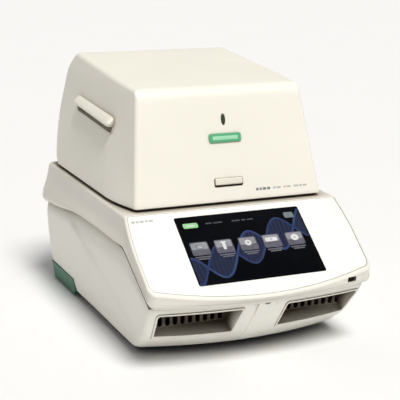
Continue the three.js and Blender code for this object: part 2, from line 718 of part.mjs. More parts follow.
const buildInside = (base) => {
  const supply = cut(box(-35, 35, -95, 95, 0, 50), box(-32, 32, -92, 92, 3, 60));
  add(base, "power_supply", supply, MAT.steel, [-105, 60, 24]);
  const chips = [[-12, -40, 24, 24, 8], [12, 20, 18, 18, 6], [0, 60, 30, 16, 12]];
  add(base, "control_board", controlBoard(64, 170, chips), MAT.board, [112, 40, 24]);
  for (const side of [-1, 1]) {
    const rail = box(-RAIL.width / 2, RAIL.width / 2, RAIL.front, RAIL.rear, 0, RAIL.height);
    const name = side < 0 ? "rail_left" : "rail_right";
    add(base, name, rail, MAT.steel, [side * RAIL.x, 0, DECK_Z + 0.3]);
  }
  const motor = join(box(-17, 17, 0, 22, -17, 17), box(-9, 9, -3, 0.5, -9, 9));
  const seat = motor.subtract(rod("y", SCREW.radius + 0.6, 16, 12));
  add(base, "lid_motor", seat, MAT.dark, [SCREW.x, SCREW.rear - 4, SCREW.z]);
  const screw = rod("y", SCREW.radius, SCREW.rear - SCREW.front, 12);
  add(base, "lid_screw", screw, MAT.steel, [SCREW.x, (SCREW.rear + SCREW.front) / 2, SCREW.z]);
};

const buildHead = (head) => {
  add(head, "head_shell", lidShell(), MAT.cream);
  add(head, "grip_left", gripCup(-1), MAT.cream);
  add(head, "grip_right", gripCup(1), MAT.cream);
  add(head, "badge", onLidFace(pill(47, 12, 1.2, 5).translate([0, 0, 0.3]), BADGE_UP), MAT.badge);
  const lens = rod("z", 3.6, 4, 12).scale([0.8, 2.15, 1]).translate([0, 0, -1]);
  add(head, "status_lens", onLidFace(lens, LENS_UP), MAT.lens);
  const button = box(-20, 20, -6, 6, -6, 0.6);
  add(head, "lid_button", onLidFace(button, BUTTON_UP), MAT.cream);
  const frame = cut(box(-25, 25, -10, 10, -9, -3.4), box(-20.5, 20.5, -6.5, 6.5, -7.8, 0));
  add(head, "button_frame", onLidFace(frame, BUTTON_UP), MAT.dark);

  add(head, "head_chassis", lidChassis(), MAT.aluminium);
  for (const side of [-1, 1]) {
    const name = side < 0 ? "left" : "right";
    add(head, `carriage_${name}`, carriage(), MAT.dark, [side * RAIL.x, CARRIAGE.y, 172.2]);
    const bracket = opticsBracket(side);
    add(head, `optics_bracket_${name}`, bracket, MAT.aluminium, [side * 100 - 2, -32, 195.3]);
  }
  add(head, "nut_arm", nutArm(), MAT.aluminium, [SCREW.x, 18, SCREW.z]);
};

const buildOptics = (head) => {
  for (const [name, y] of [["front", SHAFT.front], ["rear", SHAFT.rear]]) {
    const shaft = rod("x", SHAFT.radius, 2 * SHAFT.span - 0.8, 12);
    add(head, `optics_shaft_${name}`, shaft, MAT.steel, [0, y, SHAFT.z]);
  }
  const screw = rod("x", 3, 2 * SHAFT.span - 0.8, 12);
  add(head, "optics_screw", screw, MAT.steel, [0, TRAVEL_SCREW_Y, SHAFT.z]);
  add(head, "optics_shuttle", shuttle(), MAT.dark);
  add(head, "optics_motor", box(0, 24, -14, 14, -14, 14), MAT.dark, [102.3, TRAVEL_SCREW_Y, 224]);
  const chips = [[-30, 0, 20, 20, 6], [20, 5, 28, 14, 9]];
  add(head, "head_board", controlBoard(150, 60, chips), MAT.board, [0, 80, 196]);
  const halfW = HEATER.width / 2;
  const halfD = HEATER.depth / 2;
  const plate = box(-halfW, halfW, -halfD, halfD, 0, HEATER.thick);
  add(head, "heater_plate", plate, MAT.aluminium, [0, BLOCK.centreY, HEATER.z]);
  const frame = cut(
    box(-68, 68, -48.5, 48.5, 0, 12),
    box(-halfW - 0.8, halfW + 0.8, -halfD - 0.8, halfD + 0.8, -2, 20),
  );
  add(head, "heater_frame", frame, MAT.dark, [0, BLOCK.centreY, 185]);
};

buildBase(cycler);
buildRear(cycler);
buildCooling(cycler);
buildInside(cycler);
const head = group(cycler);
buildHead(head);
buildOptics(head);

export default cycler;
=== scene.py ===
"""Looks of a bench-top real-time PCR thermal cycler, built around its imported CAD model."""
import math

import bmesh
import bpy
import numpy as np
from mathutils import Matrix, Vector


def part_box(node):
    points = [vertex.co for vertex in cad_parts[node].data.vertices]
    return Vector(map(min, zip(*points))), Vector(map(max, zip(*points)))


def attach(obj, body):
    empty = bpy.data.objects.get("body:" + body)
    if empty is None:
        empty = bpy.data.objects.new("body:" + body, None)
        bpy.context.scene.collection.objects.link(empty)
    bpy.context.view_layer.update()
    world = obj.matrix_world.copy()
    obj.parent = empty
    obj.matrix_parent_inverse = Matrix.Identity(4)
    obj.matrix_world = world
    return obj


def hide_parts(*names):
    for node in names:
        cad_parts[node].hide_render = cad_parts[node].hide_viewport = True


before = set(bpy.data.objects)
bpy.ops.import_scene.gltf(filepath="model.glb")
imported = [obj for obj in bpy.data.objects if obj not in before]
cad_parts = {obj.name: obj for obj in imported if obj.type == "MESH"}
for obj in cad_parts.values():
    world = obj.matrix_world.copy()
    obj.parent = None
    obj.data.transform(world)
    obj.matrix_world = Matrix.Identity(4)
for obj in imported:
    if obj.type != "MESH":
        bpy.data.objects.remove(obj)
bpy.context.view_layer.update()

MM = 0.001


def mm_box(node):
    """Corners of a CAD node in millimetres, as two numpy triples."""
    low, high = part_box(node)
    return np.array(low) / MM, np.array(high) / MM


# ------------------------------ driving dimensions, in mm
BASE_LOW, BASE_HIGH = mm_box("upper_cover")
HEAD_LOW, HEAD_HIGH = mm_box("head_shell")
TAIL_WIDTH = BASE_HIGH[0]
FRONT_Y = BASE_LOW[1]
REAR_Y = BASE_HIGH[1]
SHOULDER_Z = BASE_HIGH[2]
FLANK = 35.0  # height of the cover's side above its ridge
RIDGE_Z = SHOULDER_Z - FLANK
LID_Z = HEAD_LOW[2]
LID_FRONT_Y = HEAD_LOW[1]
LID_TOP_FRONT = (-60.0, 335.95)  # y and z where the front face would meet the top
LID_TOP_REAR = (190.0, 355.95)
PANEL_TOP_Y = -111.5
PANEL_SLOPE = math.radians(36.5)
SCREEN_Y = -164.3
SCREEN_SIZE = (181.0, 109.0)
LID_LEAN = math.atan((LID_TOP_FRONT[0] - LID_FRONT_Y) / (LID_TOP_FRONT[1] - LID_Z))
LID_TOP_SLOPE = (LID_TOP_REAR[1] - LID_TOP_FRONT[1]) / (LID_TOP_REAR[0] - LID_TOP_FRONT[0])
POCKET_INSET = 11.0


# ------------------------------ mesh helpers
def linked(name, data):
    obj = bpy.data.objects.new(name, data)
    bpy.context.scene.collection.objects.link(obj)
    return obj


def new_object(name, verts, faces, sharp=32):
    """Mesh object from points in mm, smooth except along edges sharper than the angle."""
    mesh = bpy.data.meshes.new(name)
    points = [tuple(float(c) * MM for c in v) for v in verts]
    mesh.from_pydata(points, [], [tuple(f) for f in faces])
    obj = linked(name, mesh)
    tidy_mesh(obj, sharp)
    return obj


def tidy_mesh(obj, sharp=32):
    """Welds, turns the faces outwards and marks sharp edges."""
    mesh = obj.data
    made = bmesh.new()
    made.from_mesh(mesh)
    bmesh.ops.remove_doubles(made, verts=made.verts, dist=1e-6)
    bmesh.ops.dissolve_degenerate(made, edges=made.edges, dist=1e-6)
    bmesh.ops.recalc_face_normals(made, faces=made.faces)
    made.to_mesh(mesh)
    made.free()
    mesh.polygons.foreach_set("use_smooth", [True] * len(mesh.polygons))
    mesh.set_sharp_from_angle(angle=math.radians(sharp))


def apply_modifiers(obj):
    graph = bpy.context.evaluated_depsgraph_get()
    mesh = bpy.data.meshes.new_from_object(obj.evaluated_get(graph))
    obj.modifiers.clear()
    obj.data = mesh


def cut(obj, *cutters, keep=False):
    """Takes the cutters out of obj, or keeps only what is inside them, and removes them."""
    for cutter in cutters:
        step = obj.modifiers.new("cut", "BOOLEAN")
        step.operation = "INTERSECT" if keep else "DIFFERENCE"
        step.solver = "EXACT"
        step.object = cutter
    apply_modifiers(obj)
    for cutter in cutters:
        bpy.data.objects.remove(cutter)


def carve(obj, *cutters, sharp=32):
    cut(obj, *cutters)
    tidy_mesh(obj, sharp)


def weigh_normals(obj):
    step = obj.modifiers.new("normals", "WEIGHTED_NORMAL")
    step.keep_sharp = True
    step.weight = 60
    return obj


def bevel(obj, width, segments=2, angle=40):
    step = obj.modifiers.new("bevel", "BEVEL")
    step.width = width * MM
    step.segments = segments
    step.limit_method = "ANGLE"
    step.angle_limit = math.radians(angle)
    step.harden_normals = False
    return weigh_normals(obj)


def place(obj, matrix):
    obj.data.transform(matrix)
    return obj


def moved(x=0, y=0, z=0):
    return Matrix.Translation(Vector((x, y, z)) * MM)


def turned(angle, axis="X"):
    return Matrix.Rotation(angle, 4, axis)


def hand(side):
    return "left" if side < 0 else "right"


def strip_faces(rows, columns):
    """Quads between closed rows of points laid end to end."""
    faces = []
    for r in range(rows - 1):
        a, b = r * columns, (r + 1) * columns
        for c in range(columns):
            d = (c + 1) % columns
            faces.append((a + c, a + d, b + d, b + c))
    return faces


def skin(name, rows, sharp=32, start=True, end=True):
    """Skin through closed rings of points, with flat ends unless told otherwise."""
    count = len(rows[0])
    verts = np.concatenate(rows)
    faces = strip_faces(len(rows), count)
    if start:
        faces.append(tuple(reversed(range(count))))
    if end:
        faces.append(tuple(range(len(verts) - count, len(verts))))
    return new_object(name, verts, faces, sharp)


def at_height(outline, z):
    return np.column_stack([outline, np.full(len(outline), z)])


def ellipse(half_width, half_height, steps=28):
    angles = np.linspace(0, 2 * math.pi, steps, endpoint=False)
    return np.column_stack([half_width * np.cos(angles), half_height * np.sin(angles)])


def rounded_rect(width, height, radius, steps=6):
    """Anticlockwise outline of a rectangle with round corners, centred on the origin."""
    points = []
    for k, (sx, sy) in enumerate(((1, 1), (-1, 1), (-1, -1), (1, -1))):
        centre = (sx * (width / 2 - radius), sy * (height / 2 - radius))
        for i in range(steps + 1):
            angle = math.pi / 2 * (k + i / steps)
            x, y = radius * math.cos(angle), radius * math.sin(angle)
            points.append((centre[0] + x, centre[1] + y))
    return np.array(points)


def rounded_polygon(corners, radius, steps=6):
    """Anticlockwise polygon with each corner turned into an arc of the radius."""
    corners = np.array(corners, float)
    radii = np.broadcast_to(radius, len(corners))
    points = []
    for i, corner in enumerate(corners):
        near = corners[i - 1] - corner, corners[(i + 1) % len(corners)] - corner
        before, after = (v / np.linalg.norm(v) for v in near)
        half = math.acos(np.clip(before @ after, -1, 1)) / 2
        reach = radii[i] / math.tan(half)
        middle = (before + after) / np.linalg.norm(before + after)
        centre = corner + middle * radii[i] / math.sin(half)
        start, end = corner + before * reach - centre, corner + after * reach - centre
        a0 = math.atan2(start[1], start[0])
        turn = (math.atan2(end[1], end[0]) - a0 + math.pi) % (2 * math.pi) - math.pi
        for k in range(steps + 1):
            angle = a0 + turn * k / steps
            points.append(centre + radii[i] * np.array([math.cos(angle), math.sin(angle)]))
    return np.array(points)


def unit(vectors):
    return vectors / np.maximum(np.linalg.norm(vectors, axis=1, keepdims=True), 1e-9)


def inset_outline(outline, amount):
    """Anticlockwise outline moved inwards by amount, vertex by vertex."""
    a, b = unit(outline - np.roll(outline, 1, 0)), unit(np.roll(outline, -1, 0) - outline)
    normal = unit(np.column_stack([-(a + b)[:, 1], (a + b)[:, 0]]))
    cosine = np.clip(np.abs(normal[:, 0] * -a[:, 1] + normal[:, 1] * a[:, 0]), 0.4, 1)
    return outline + normal * amount / cosine[:, None]


def slab(name, outline, z0, z1, top=0.0, bottom=0.0, steps=4, sharp=32):
    """Plate of an outline between two heights, with rounded top and bottom edges."""
    angles = [math.pi / 2 * k / steps for k in range(steps + 1)]
    rows = [(0, z0 + bottom), (0, z1 - top)]
    if bottom:
        edge = [(bottom * (1 - math.sin(a)), z0 + bottom * (1 - math.cos(a))) for a in angles]
        rows = edge[:-1] + rows
    if top:
        edge = [(top * (1 - math.cos(a)), z1 - top * (1 - math.sin(a))) for a in angles]
        rows += edge[1:]
    rings = [at_height(inset_outline(outline, i) if i else outline, z) for i, z in rows]
    return skin(name, rings, sharp)


def merged(name, objects):
    """One object from several, each keeping its faces and materials."""
    verts, faces, slots, picks = [], [], [], []
    for obj in objects:
        start = len(verts)
        verts += [v.co.copy() for v in obj.data.vertices]
        own = list(obj.data.materials) or [None]
        for material in own:
            if material not in slots:
                slots.append(material)
        for face in obj.data.polygons:
            faces.append([start + i for i in face.vertices])
            picks.append(slots.index(own[min(face.material_index, len(own) - 1)]))
    mesh = bpy.data.meshes.new(name)
    mesh.from_pydata(verts, [], faces)
    for material in slots:
        if material:
            mesh.materials.append(material)
    mesh.polygons.foreach_set("material_index", picks)
    mesh.polygons.foreach_set("use_smooth", [True] * len(faces))
    mesh.set_sharp_from_angle(angle=math.radians(35))
    for obj in objects:
        bpy.data.objects.remove(obj)
    return linked(name, mesh)


def painted(obj, material):
    obj.data.materials.clear()
    obj.data.materials.append(material)
    return obj


def finish_piece(obj, material, body, replaces=()):
    """Gives a piece its material and its body, and hides the CAD nodes it stands for."""
    if material is not None:
        painted(obj, material)
    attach(obj, body)
    if replaces:
        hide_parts(*replaces)
    return obj


# ------------------------------ materials
def new_material(name):
    material = bpy.data.materials.new(name)
    material.use_nodes = True
    tree = material.node_tree
    tree.nodes.clear()
    out = tree.nodes.new("ShaderNodeOutputMaterial")
    shader = tree.nodes.new("ShaderNodeBsdfPrincipled")
    tree.links.new(shader.outputs[0], out.inputs[0])
    return material, tree, shader


def feed(tree, node, **values):
    """Sets settings and sockets of a node, in_3 being its fourth socket; links what is a socket."""
    for key, value in values.items():
        if hasattr(node, key):
            setattr(node, key, value)
            continue
        socket = node.inputs[int(key[3:]) if key.startswith("in_") else key.replace("_", " ")]
        if isinstance(value, bpy.types.NodeSocket):
            tree.links.new(value, socket)
        else:
            socket.default_value = value
    return node


def add_node(tree, kind, **values):
    return feed(tree, tree.nodes.new("ShaderNode" + kind), **values)


def mixed(tree, factor, low, high):
    low, high = ((*c, 1) if isinstance(c, tuple) else c for c in (low, high))
    node = add_node(tree, "Mix", data_type="RGBA", in_0=factor, in_6=low, in_7=high)
    return node.outputs[2]


def ranged(tree, value, low, high, start=0.0, end=1.0):
    """Value mapped from start..end to low..high."""
    ends = {"From_Min": start, "From_Max": end, "To_Min": low, "To_Max": high}
    return add_node(tree, "MapRange", Value=value, **ends).outputs[0]


def combined(tree, operation, first, second):
    return add_node(tree, "Math", operation=operation, in_0=first, in_1=second).outputs[0]


def point_on(tree):
    """The point on the piece, in metres: its object sits at the origin."""
    return add_node(tree, "TexCoord").outputs["Object"]


def axes(tree, point):
    return add_node(tree, "SeparateXYZ", Vector=point).outputs


def shaded(colour, factor):
    return tuple(min(1.0, c * factor) for c in colour)


def noise(tree, scale, detail=3.0, roughness=0.5, point=None):
    point = point or point_on(tree)
    node = add_node(tree, "TexNoise", Vector=point, Scale=scale, Detail=detail, Roughness=roughness)
    return node.outputs[0]


def bump(tree, height, strength, distance):
    return add_node(tree, "Bump", Height=height, Strength=strength, Distance=distance).outputs[0]


GRAIN_SIZE = 0.0009
GRAIN_DEPTH = 0.00006
TINT = 0.035  # how far the plastic's colour wanders
PAINTED_SHADE = (0.42, 0.38, 0.32)  # what painted shade leaves of a colour
OPEN = 0.97  # ambient occlusion from which a surface counts as open
# most painted shade a crevice can get
DEEPEST_PAINTED_SHADE = 0.95


def plastic(
    name, colour, roughness=0.45, grain=0.35, coat=0.0, crevice=0.0, reach=0.47, unshaded_below=0.0
):
    """Moulded plastic: fine spark-eroded grain, faint clouding and uneven gloss.

    Painted shade darkens crevices of that many metres, where ambient occlusion finds them:
    the smaller reach is, the sooner it is full. Under the height unshaded_below there is none.
    """
    material, tree, shader = new_material(name)
    clouds = ranged(tree, noise(tree, 9.0, 4.0), 0.0, 1.0, 0.3, 0.7)
    grains = noise(tree, 1.0 / GRAIN_SIZE, 2.0, 0.6)
    specks = ranged(tree, grains, 0.0, 1.0, 0.35, 0.65)
    tone = mixed(tree, clouds, shaded(colour, 1 - TINT), shaded(colour, 1 + TINT * 0.5))
    fine = mixed(tree, specks, shaded(colour, 1 - TINT * 0.6), colour)
    surface = mixed(tree, 0.4, tone, fine)
    if crevice:
        # painted shade: the colour darkens and warms where ambient occlusion finds a crevice
        sky = add_node(tree, "AmbientOcclusion", samples=8, Distance=crevice).outputs["AO"]
        amount = ranged(tree, sky, DEEPEST_PAINTED_SHADE, 0.0, OPEN - reach, OPEN)
        if unshaded_below:
            z = axes(tree, point_on(tree))[2]
            above = ranged(tree, z, 0.0, 1.0, unshaded_below * 0.6, unshaded_below)
            amount = combined(tree, "MULTIPLY", amount, above)
        surface = mixed(tree, amount, surface, tuple(c * d for c, d in zip(colour, PAINTED_SHADE)))
    gloss = ranged(tree, grains, roughness - 0.05, roughness + 0.07)
    normal = bump(tree, grains, grain, GRAIN_DEPTH)
    feed(tree, shader, Base_Color=surface, Roughness=gloss, Normal=normal, IOR=1.5)
    if coat:
        feed(tree, shader, Coat_Weight=coat, Coat_Roughness=0.12)
    return material


def vent_plastic(name, lip, depth):
    """Plastic of the air intakes: cream at the lip, painted shade, darker and browner, towards the
    slots.

    The change follows the front of the housing, which leans back and bows: it lies where
    y + 0.78 z - 0.7 x x is between the two levels.
    """
    lean, bow, lip_level, slot_level = 0.78, 0.7, -0.1545, -0.131
    material = plastic(name, lip, 0.5, 0.4, crevice=0.02)
    tree = material.node_tree
    shader = next(n for n in tree.nodes if n.type == "BSDF_PRINCIPLED")
    x, y, z = axes(tree, point_on(tree))
    bowed = combined(tree, "MULTIPLY", combined(tree, "MULTIPLY", x, x), bow)
    leaning = combined(tree, "ADD", y, combined(tree, "MULTIPLY", z, lean))
    behind = combined(tree, "SUBTRACT", leaning, bowed)
    # painted shade: the intake darkens to the brown colour deep in the recess
    inside = ranged(tree, behind, 0.0, 1.0, lip_level, slot_level)
    surface = shader.inputs["Base Color"].links[0].from_socket
    feed(tree, shader, Base_Color=mixed(tree, inside, surface, depth))
    return material


def metal(name, colour, roughness=0.3, brushed=(1.0, 1.0, 1.0), scratch=0.25):
    """Bare metal with a directional grind: brushed is the stretch of its scratches per axis."""
    material, tree, shader = new_material(name)
    stretch = add_node(tree, "Mapping", Vector=point_on(tree), Scale=brushed).outputs[0]
    lines = noise(tree, 700.0, 4.0, point=stretch)
    spread = ranged(tree, lines, 0.0, 1.0, 0.3, 0.7)
    feed(
        tree, shader, Metallic=1.0, Normal=bump(tree, lines, scratch, 0.00005),
        Base_Color=mixed(tree, spread, shaded(colour, 0.86), shaded(colour, 1.05)),
        Roughness=ranged(tree, lines, roughness * 0.75, roughness * 1.4),
    )
    return material


def rubber(name, colour, roughness=0.75):
    material, tree, shader = new_material(name)
    wear = noise(tree, 60.0)
    feed(
        tree, shader, Normal=bump(tree, noise(tree, 1400.0, 3.0, 0.6), 0.4, 0.0001),
        Base_Color=mixed(tree, ranged(tree, wear, 0, 1, 0.4, 0.7), colour, shaded(colour, 1.7)),
        Roughness=ranged(tree, wear, roughness - 0.08, roughness + 0.1),
    )
    return material


def lit(name, colour, other, scale=60.0):
    """Part of the display's picture: light of two colours in a faint pattern, under gloss."""
    material, tree, shader = new_material(name)
    pattern = ranged(tree, noise(tree, scale, 2.0), 0.0, 1.0, 0.3, 0.7)
    feed(
        tree, shader, Emission_Color=mixed(tree, pattern, colour, other), Emission_Strength=1.0,
        Base_Color=(*shaded(colour, 0.3), 1), Roughness=0.12,
    )
    return material


def dark_glass(name):
    """Cover glass over an unlit display: black with a faint smear of fingerprints."""
    material, tree, shader = new_material(name)
    smear = noise(tree, 22.0, 5.0, 0.6)
    dark, pale = (0.0008, 0.001, 0.002), (0.002, 0.0025, 0.004)
    feed(
        tree, shader, Base_Color=mixed(tree, ranged(tree, smear, 0, 1, 0.4, 0.8), dark, pale),
        Roughness=ranged(tree, smear, 0.10, 0.24, 0.35, 0.7), Specular_IOR_Level=0.06,
    )
    return material


def circuit_board(name):
    """Solder-masked board with traces and pads."""
    material, tree, shader = new_material(name)
    cells = add_node(
        tree, "TexBrick", Vector=point_on(tree), Scale=90.0, Mortar_Size=0.02,
        Color1=(0.02, 0.14, 0.06, 1), Color2=(0.03, 0.17, 0.08, 1), Mortar=(0.08, 0.3, 0.14, 1),
    )
    gloss = ranged(tree, noise(tree, 300.0), 0.25, 0.5)
    feed(tree, shader, Base_Color=cells.outputs["Color"], Roughness=gloss)
    return material


WARM_WHITE = (0.86, 0.83, 0.74)
PANEL_WHITE = (0.84, 0.84, 0.79)
MATS = {
    # crevice gives a plastic painted shade in its crevices and hollows
    "head": plastic("head_plastic", WARM_WHITE, 0.42, 0.3, crevice=0.011),
    "base": plastic("base_plastic", (0.79, 0.755, 0.68), 0.45, 0.4, crevice=0.05),
    # lighter than the cover's plastic: painted light standing in for the floor's bounce onto the
    # lower sides
    "housing": plastic(
        "housing_plastic", (0.92, 0.90, 0.82), 0.45, 0.4, crevice=0.07, reach=0.26, unshaded_below=0.1
    ),
    # the intake's second colour is painted shade deep in its recess
    "intake": vent_plastic("intake_plastic", (0.84, 0.81, 0.735), (0.085, 0.062, 0.038)),
    "fascia": plastic("fascia_plastic", PANEL_WHITE, 0.34, 0.15, coat=0.15),
    "button": plastic("button_plastic", (0.78, 0.74, 0.64), 0.38, 0.2),
    "green": plastic("green_plastic", (0.022, 0.16, 0.085), 0.4, 0.3),
    "badge": plastic("badge_plastic", (0.10, 0.42, 0.21), 0.3, 0.1, coat=0.4),
    "badge_pale": plastic("badge_inlay", (0.36, 0.72, 0.46), 0.3, 0.1, coat=0.4),
    "dark": plastic("black_plastic", (0.018, 0.018, 0.019), 0.5, 0.5),
    # painted shadow: dark brown of the strip that stands for the shade under the ridge
    "seal": rubber("shadow_strip", (0.085, 0.07, 0.048), 0.85),
    # the button well's dark brown is painted shade in the gap round the button
    "recess": plastic("button_well", (0.07, 0.045, 0.03), 0.6, 0.4),
    "lens": plastic("lens_plastic", (0.035, 0.05, 0.03), 0.16, 0.05, coat=0.6),
    "print_grey": plastic("print_grey", (0.20, 0.20, 0.21), 0.6, 0.2),
    "print_light": plastic("print_light", (0.46, 0.46, 0.45), 0.6, 0.2),
    "rubber": rubber("foot_rubber", (0.02, 0.02, 0.02)),
    # dark foam of the light seal, whose darkness is also painted shade in the gap between head and
    # base
    "foam": rubber("seal_foam", (0.03, 0.028, 0.026), 0.9),
    "steel": metal("ground_steel", (0.55, 0.56, 0.58), 0.28, (1.0, 0.06, 1.0)),
    "screw": metal("screw_steel", (0.5, 0.5, 0.52), 0.25, (1.0, 1.0, 1.0)),
    "aluminium": metal("machined_aluminium", (0.78, 0.79, 0.81), 0.32, (0.08, 1.0, 1.0)),
    "block": metal("block_aluminium", (0.80, 0.80, 0.82), 0.36, (0.2, 1.0, 1.0), 0.15),
    "tin": metal("tinned_steel", (0.62, 0.62, 0.62), 0.38, (1.0, 1.0, 0.1)),
    "ceramic": plastic("ceramic", (0.85, 0.84, 0.81), 0.6, 0.3),
    "frame_white": plastic("frame_plastic", (0.80, 0.80, 0.77), 0.5, 0.3),
    "board": circuit_board("circuit_board"),
    "glass": dark_glass("display_glass"),
}


# ------------------------------ forms of the base and the head
def table(rows, z):
    heights, values = zip(*rows)
    return np.interp(z, heights, values)


# Rows of (z, value) for the plan of the cover and of the housing: half widths at the front corner
# (nose), at WAIST_Y, at HALF_Y and at the rear (tail), y of the front and the rear, and the
# front's bow.
UPPER = {
    "half": [(84, 165), (RIDGE_Z, 165), (SHOULDER_Z, 155)],
    "tail": [(84, TAIL_WIDTH), (RIDGE_Z, TAIL_WIDTH), (SHOULDER_Z, 155)],
    "waist": [(84, 164), (RIDGE_Z, 163), (SHOULDER_Z, 155)],
    "nose": [(84, 160), (SHOULDER_Z, 157)],
    "front": [
        (78, FRONT_Y + 16), (82, FRONT_Y + 9), (88, FRONT_Y + 3), (94, FRONT_Y), (108, FRONT_Y),
    ],
    "bow": [(82, 20), (SHOULDER_Z, 20)],
    "rear": [(84, REAR_Y), (RIDGE_Z, REAR_Y), (SHOULDER_Z, REAR_Y - 2)],
}
LOWER = {
    "half": [
        (0, 147.5), (12, 149), (28, 151), (50, 153.5), (80, 156.5), (100, 158), (121, 159.5),
        (150, 161),
    ],
    "tail": [(0, 150), (12, 151.5), (28, 153.5), (50, 156), (80, 159), (121, 161), (150, 162)],
    "waist": [(0, 147), (12, 148.5), (50, 152.5), (100, 157), (150, 160.5)],
    "nose": [(0, 146), (12, 148), (50, 152.5), (100, 157.5)],
    "front": [(0, -148), (12, -158), (35, -182), (76, -214), (86, -221), (100, -222)],
    "bow": [(0, 26), (12, 26), (35, 17), (76, 17), (100, 18)],
    "rear": [(0, 221), (28, 224), (60, 227), (110, 228), (150, 228)],
}
FRONT_CORNER = 14.0
REAR_CORNER = 9.0
WAIST_Y, HALF_Y = -100.0, 20.0


def mirrored(points):
    """Closed ring from its right half, front centre to rear centre."""
    points = np.asarray(points, float)
    left = points[1:-1][::-1].copy()
    left[:, 0] *= -1
    return np.concatenate([points, left])


def arc(cx, cy, radius, start, steps):
    angles = start + np.linspace(0, math.pi / 2, steps + 1)
    return np.column_stack([cx + radius * np.cos(angles), cy + radius * np.sin(angles)])


def soft_line(ys, knots_y, knots_x, reach=22.0):
    """x along a bent line at each y, its bends eased over reach."""
    room = np.minimum(reach, np.minimum(ys - ys[0], ys[-1] - ys))
    offsets = np.linspace(-1, 1, 17)
    samples = np.array([np.interp(ys + room * o, knots_y, knots_x) for o in offsets])
    return samples.mean(0)


def base_outline(form, z, inset=0.0, kink=None):
    """Ring of the base at height z. kink is a y that gets a point of its own."""
    half, tail, waist, nose = (table(form[k], z) - inset for k in ("half", "tail", "waist", "nose"))
    front, rear = table(form["front"], z) + inset, table(form["rear"], z) - inset
    bow = table(form["bow"], z)
    front_r = max(FRONT_CORNER - inset, 2.0)
    rear_r = max(REAR_CORNER - inset, 3.0)
    flat = nose - front_r
    xs = np.linspace(0, flat, 15)
    start_y = front + bow * (flat / nose) ** 2 + front_r
    end_y = rear - rear_r
    if kink is None:
        ys = np.linspace(start_y, end_y, 45)
    else:
        ys = np.concatenate([np.linspace(start_y, kink, 13), np.linspace(kink, end_y, 33)[1:]])
    knots_y = [start_y, max(WAIST_Y, start_y + 5), HALF_Y, end_y]
    side = np.column_stack([soft_line(ys, knots_y, [nose, waist, half, tail]), ys])
    right = [
        np.column_stack([xs, front + bow * (xs / nose) ** 2]),
        arc(flat, start_y, front_r, -math.pi / 2, 9)[1:-1],
        side,
        arc(tail - rear_r, end_y, rear_r, 0, 10)[1:],
        np.column_stack([np.linspace(tail - rear_r, 0, 11)[1:], np.full(10, rear)]),
    ]
    return mirrored(np.concatenate(right))


class Wall:
    """Wall whose outline changes with height, sampled so that any height can be asked for."""

    def __init__(self, outline, low, high, steps=110, ease=3):
        self.z = np.linspace(low, high, steps)
        rings = np.array([outline(z) for z in self.z])
        padded = np.concatenate([rings[:1]] * ease + [rings] + [rings[-1:]] * ease)
        weights = np.ones(2 * ease + 1) / (2 * ease + 1)
        self.rings = sum(w * padded[i : i + steps] for i, w in enumerate(weights))
        self.count = rings.shape[1]

    def at(self, heights):
        heights = np.clip(np.broadcast_to(heights, self.count), self.z[0], self.z[-1])
        place_in = (heights - self.z[0]) / (self.z[1] - self.z[0])
        low = np.minimum(place_in.astype(int), len(self.z) - 2)
        part = (place_in - low)[:, None]
        index = np.arange(self.count)
        xy = self.rings[low, index] * (1 - part) + self.rings[low + 1, index] * part
        return np.column_stack([xy, heights])

    def on(self, level):
        """Ring where the wall meets a surface given as z of (x, y)."""
        ring = self.at(np.full(self.count, (self.z[0] + self.z[-1]) / 2))
        for _ in range(60):
            target = level(ring[:, 0], ring[:, 1])
            ring = self.at(0.5 * ring[:, 2] + 0.5 * target)
        return ring


def cover_wall(inset=0.0):
    return Wall(lambda z: base_outline(UPPER, z, inset, PANEL_TOP_Y), 78, 186, 130, 2)


def housing_wall(inset=0.0):
    return Wall(lambda z: base_outline(LOWER, z, inset), 4, 152, 150, 5)


def outward(ring):
    """Plan normals of a ring, pointing out."""
    along = np.roll(ring, -1, 0) - np.roll(ring, 1, 0)
    return unit(np.column_stack([along[:, 1], -along[:, 0], np.zeros(len(ring))]))


def panel_z(y):
    return SHOULDER_Z + (y - PANEL_TOP_Y) * math.tan(PANEL_SLOPE)


def top_level(x, y):
    return np.minimum(SHOULDER_Z, panel_z(y))


RIDGE_LINE = ([-250, -206, -121, 0, 88, 188, 260], [75, 96, RIDGE_Z, RIDGE_Z, 147, 141, 134])


def ridge_level(x, y, drop=0.0):
    return np.interp(y, *RIDGE_LINE) - drop


def on_panel(y=SCREEN_Y):
    """Matrix into the panel's own frame: x across, y up the slope, z out of it."""
    return moved(0, y, panel_z(y)) @ turned(PANEL_SLOPE)


def on_head_face(x, up):
    """Matrix into the frame of the head's front face, up its slope from the lower edge."""
    foot = moved(x, LID_FRONT_Y + up * math.sin(LID_LEAN), LID_Z + up * math.cos(LID_LEAN))
    return foot @ turned(math.pi / 2 - LID_LEAN)


HEAD = {
    "nose": [(LID_Z, 138), (336, 120.5)],
    "crease_y": [(LID_Z, -50), (237, -14), (282, 0), (335, 5)],
    "crease": [(LID_Z, 150.5), (282, 133), (322, 127.5), (345, 120.5)],
    "half": [(LID_Z, 151), (282, 135.5), (322, 129.5), (345, 120.5)],
    "rear": [
        (LID_Z, 205), (200, 216), (225, 224), (250, 229), (275, 229),
        (300, 224), (320, 220), (340, 214), (356, 200),
    ],
}
HEAD_FRONT_CORNER = 6
HEAD_REAR_CORNER = 18
HEAD_BULGE = 1.0


def head_top(y):
    return LID_TOP_FRONT[1] + (y - LID_TOP_FRONT[0]) * LID_TOP_SLOPE


